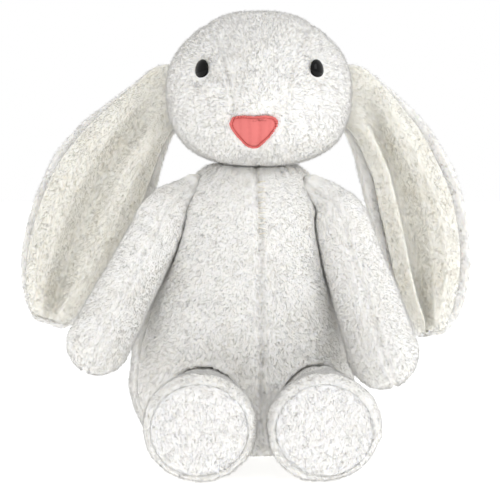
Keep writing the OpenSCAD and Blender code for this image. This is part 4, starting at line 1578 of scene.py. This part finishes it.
@dataclass
class Studio:
    """A pale floor, soft lights and the camera."""

    distance: float = 1200.0
    camera_x: float = -5.65
    camera_z: float = 190.0
    pitch: float = 3.17
    lens: float = 137.6
    key: float = 3.2
    fill: float = 0.5
    world: float = 1.0

    def build(self) -> None:
        """Builds the floor, the lights, the world and the camera."""
        scene = bpy.context.scene
        scene.view_settings.view_transform = "Standard"
        self._floor()
        self._light("key", (0.85, -0.6, 0.75), 0.7, self.key, "#FBFDFF")
        self._light("fill", (-0.9, -0.9, 0.5), 1.3, self.fill, "#FFF8EC")
        world = bpy.data.worlds.new("studio")
        world.use_nodes = True
        world.node_tree.nodes["Background"].inputs["Color"].default_value = linear("#FFFFFF")
        world.node_tree.nodes["Background"].inputs["Strength"].default_value = self.world
        scene.world = world
        data = bpy.data.cameras.new("camera")
        data.lens = self.lens
        data.sensor_width = 36.0
        camera = bpy.data.objects.new("camera", data)
        camera.location = (self.camera_x * MM, -self.distance * MM, self.camera_z * MM)
        camera.rotation_euler = (math.radians(90 - self.pitch), 0.0, 0.0)
        scene.collection.objects.link(camera)
        scene.camera = camera

    def _floor(self) -> None:
        """The pale floor, which fades into the backdrop."""
        mesh = bpy.data.meshes.new("floor")
        mesh.from_pydata([(-3, -3, 0), (3, -3, 0), (3, 5, 0), (-3, 5, 0)], [], [(0, 1, 2, 3)])
        floor = bpy.data.objects.new("floor", mesh)
        bpy.context.scene.collection.objects.link(floor)
        made = bpy.data.materials.new("floor")
        made.use_nodes = True
        bsdf = made.node_tree.nodes["Principled BSDF"]
        bsdf.inputs["Base Color"].default_value = linear("#FFFFFF")
        bsdf.inputs["Roughness"].default_value = 0.9
        bsdf.inputs["Emission Color"].default_value = linear("#FFFFFF")
        bsdf.inputs["Emission Strength"].default_value = 0.45
        mesh.materials.append(made)

    def _light(self, name: str, place: tuple[float, float, float], size: float, power: float, tone: str) -> None:
        """A square soft light that looks at the toy."""
        data = bpy.data.lights.new(name, "AREA")
        data.size = size
        data.energy = power
        data.color = linear(tone)[:3]
        lamp = bpy.data.objects.new(name, data)
        lamp.location = place
        lamp.rotation_euler = (Vector((0.0, 0.0, 0.13)) - Vector(place)).to_track_quat("-Z", "Y").to_euler()
        bpy.context.scene.collection.objects.link(lamp)


def main() -> None:
    """Builds the toy, piece by piece, and the studio round it."""
    logging.basicConfig(level=logging.INFO, format="%(name)s: %(message)s")
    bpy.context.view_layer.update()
    neck = Neck()
    ears = [Ear(Side.LEFT, lean=56.0, droop=52.0, curl=128.0, valley=-0.25),
            Ear(Side.RIGHT, lean=52.0, droop=34.0, curl=62.0)]
    arms = [Arm(Side.LEFT, out=16.5, paw=21.5, sleeve=17.5, length=99.0),
            Arm(Side.RIGHT, out=25.5, paw=19.0, sleeve=16.0, length=99.0)]
    legs = [Leg(Side.LEFT), Leg(Side.RIGHT)]
    head = Head()
    face = Face()

    def in_head_way(p: Array) -> Array:
        """Points that lie in the neck or an ear root."""
        return neck.tube.holds(p, 0.8) | ears[0].holds(p) | ears[1].holds(p)

    def in_torso_way(p: Array) -> Array:
        """Points that lie in the head, the neck, an arm or a leg."""
        hit = head.share(p, 0.7) < 1
        for tube in (neck.tube, *(a.tube for a in arms), *(g.shape for g in legs)):
            hit |= tube.holds(p, 1.0)
        return hit

    Torso().build(in_torso_way)
    neck.build()
    face.build(head.build(face, in_head_way))
    for ear in ears:
        ear.build()
    for arm in arms:
        arm.build()
    for leg in legs:
        leg.build(lambda p, s=leg.side.sign: p[:, 0] * s < 0.9)
    for side in Side:
        washer = frame["nodes"][f"eye_washer_{side.word}"]
        washer.data.materials.clear()
        washer.data.materials.append(Finishes.of(WASHER))
    Studio().build()


if __name__ == "__main__":
    main()
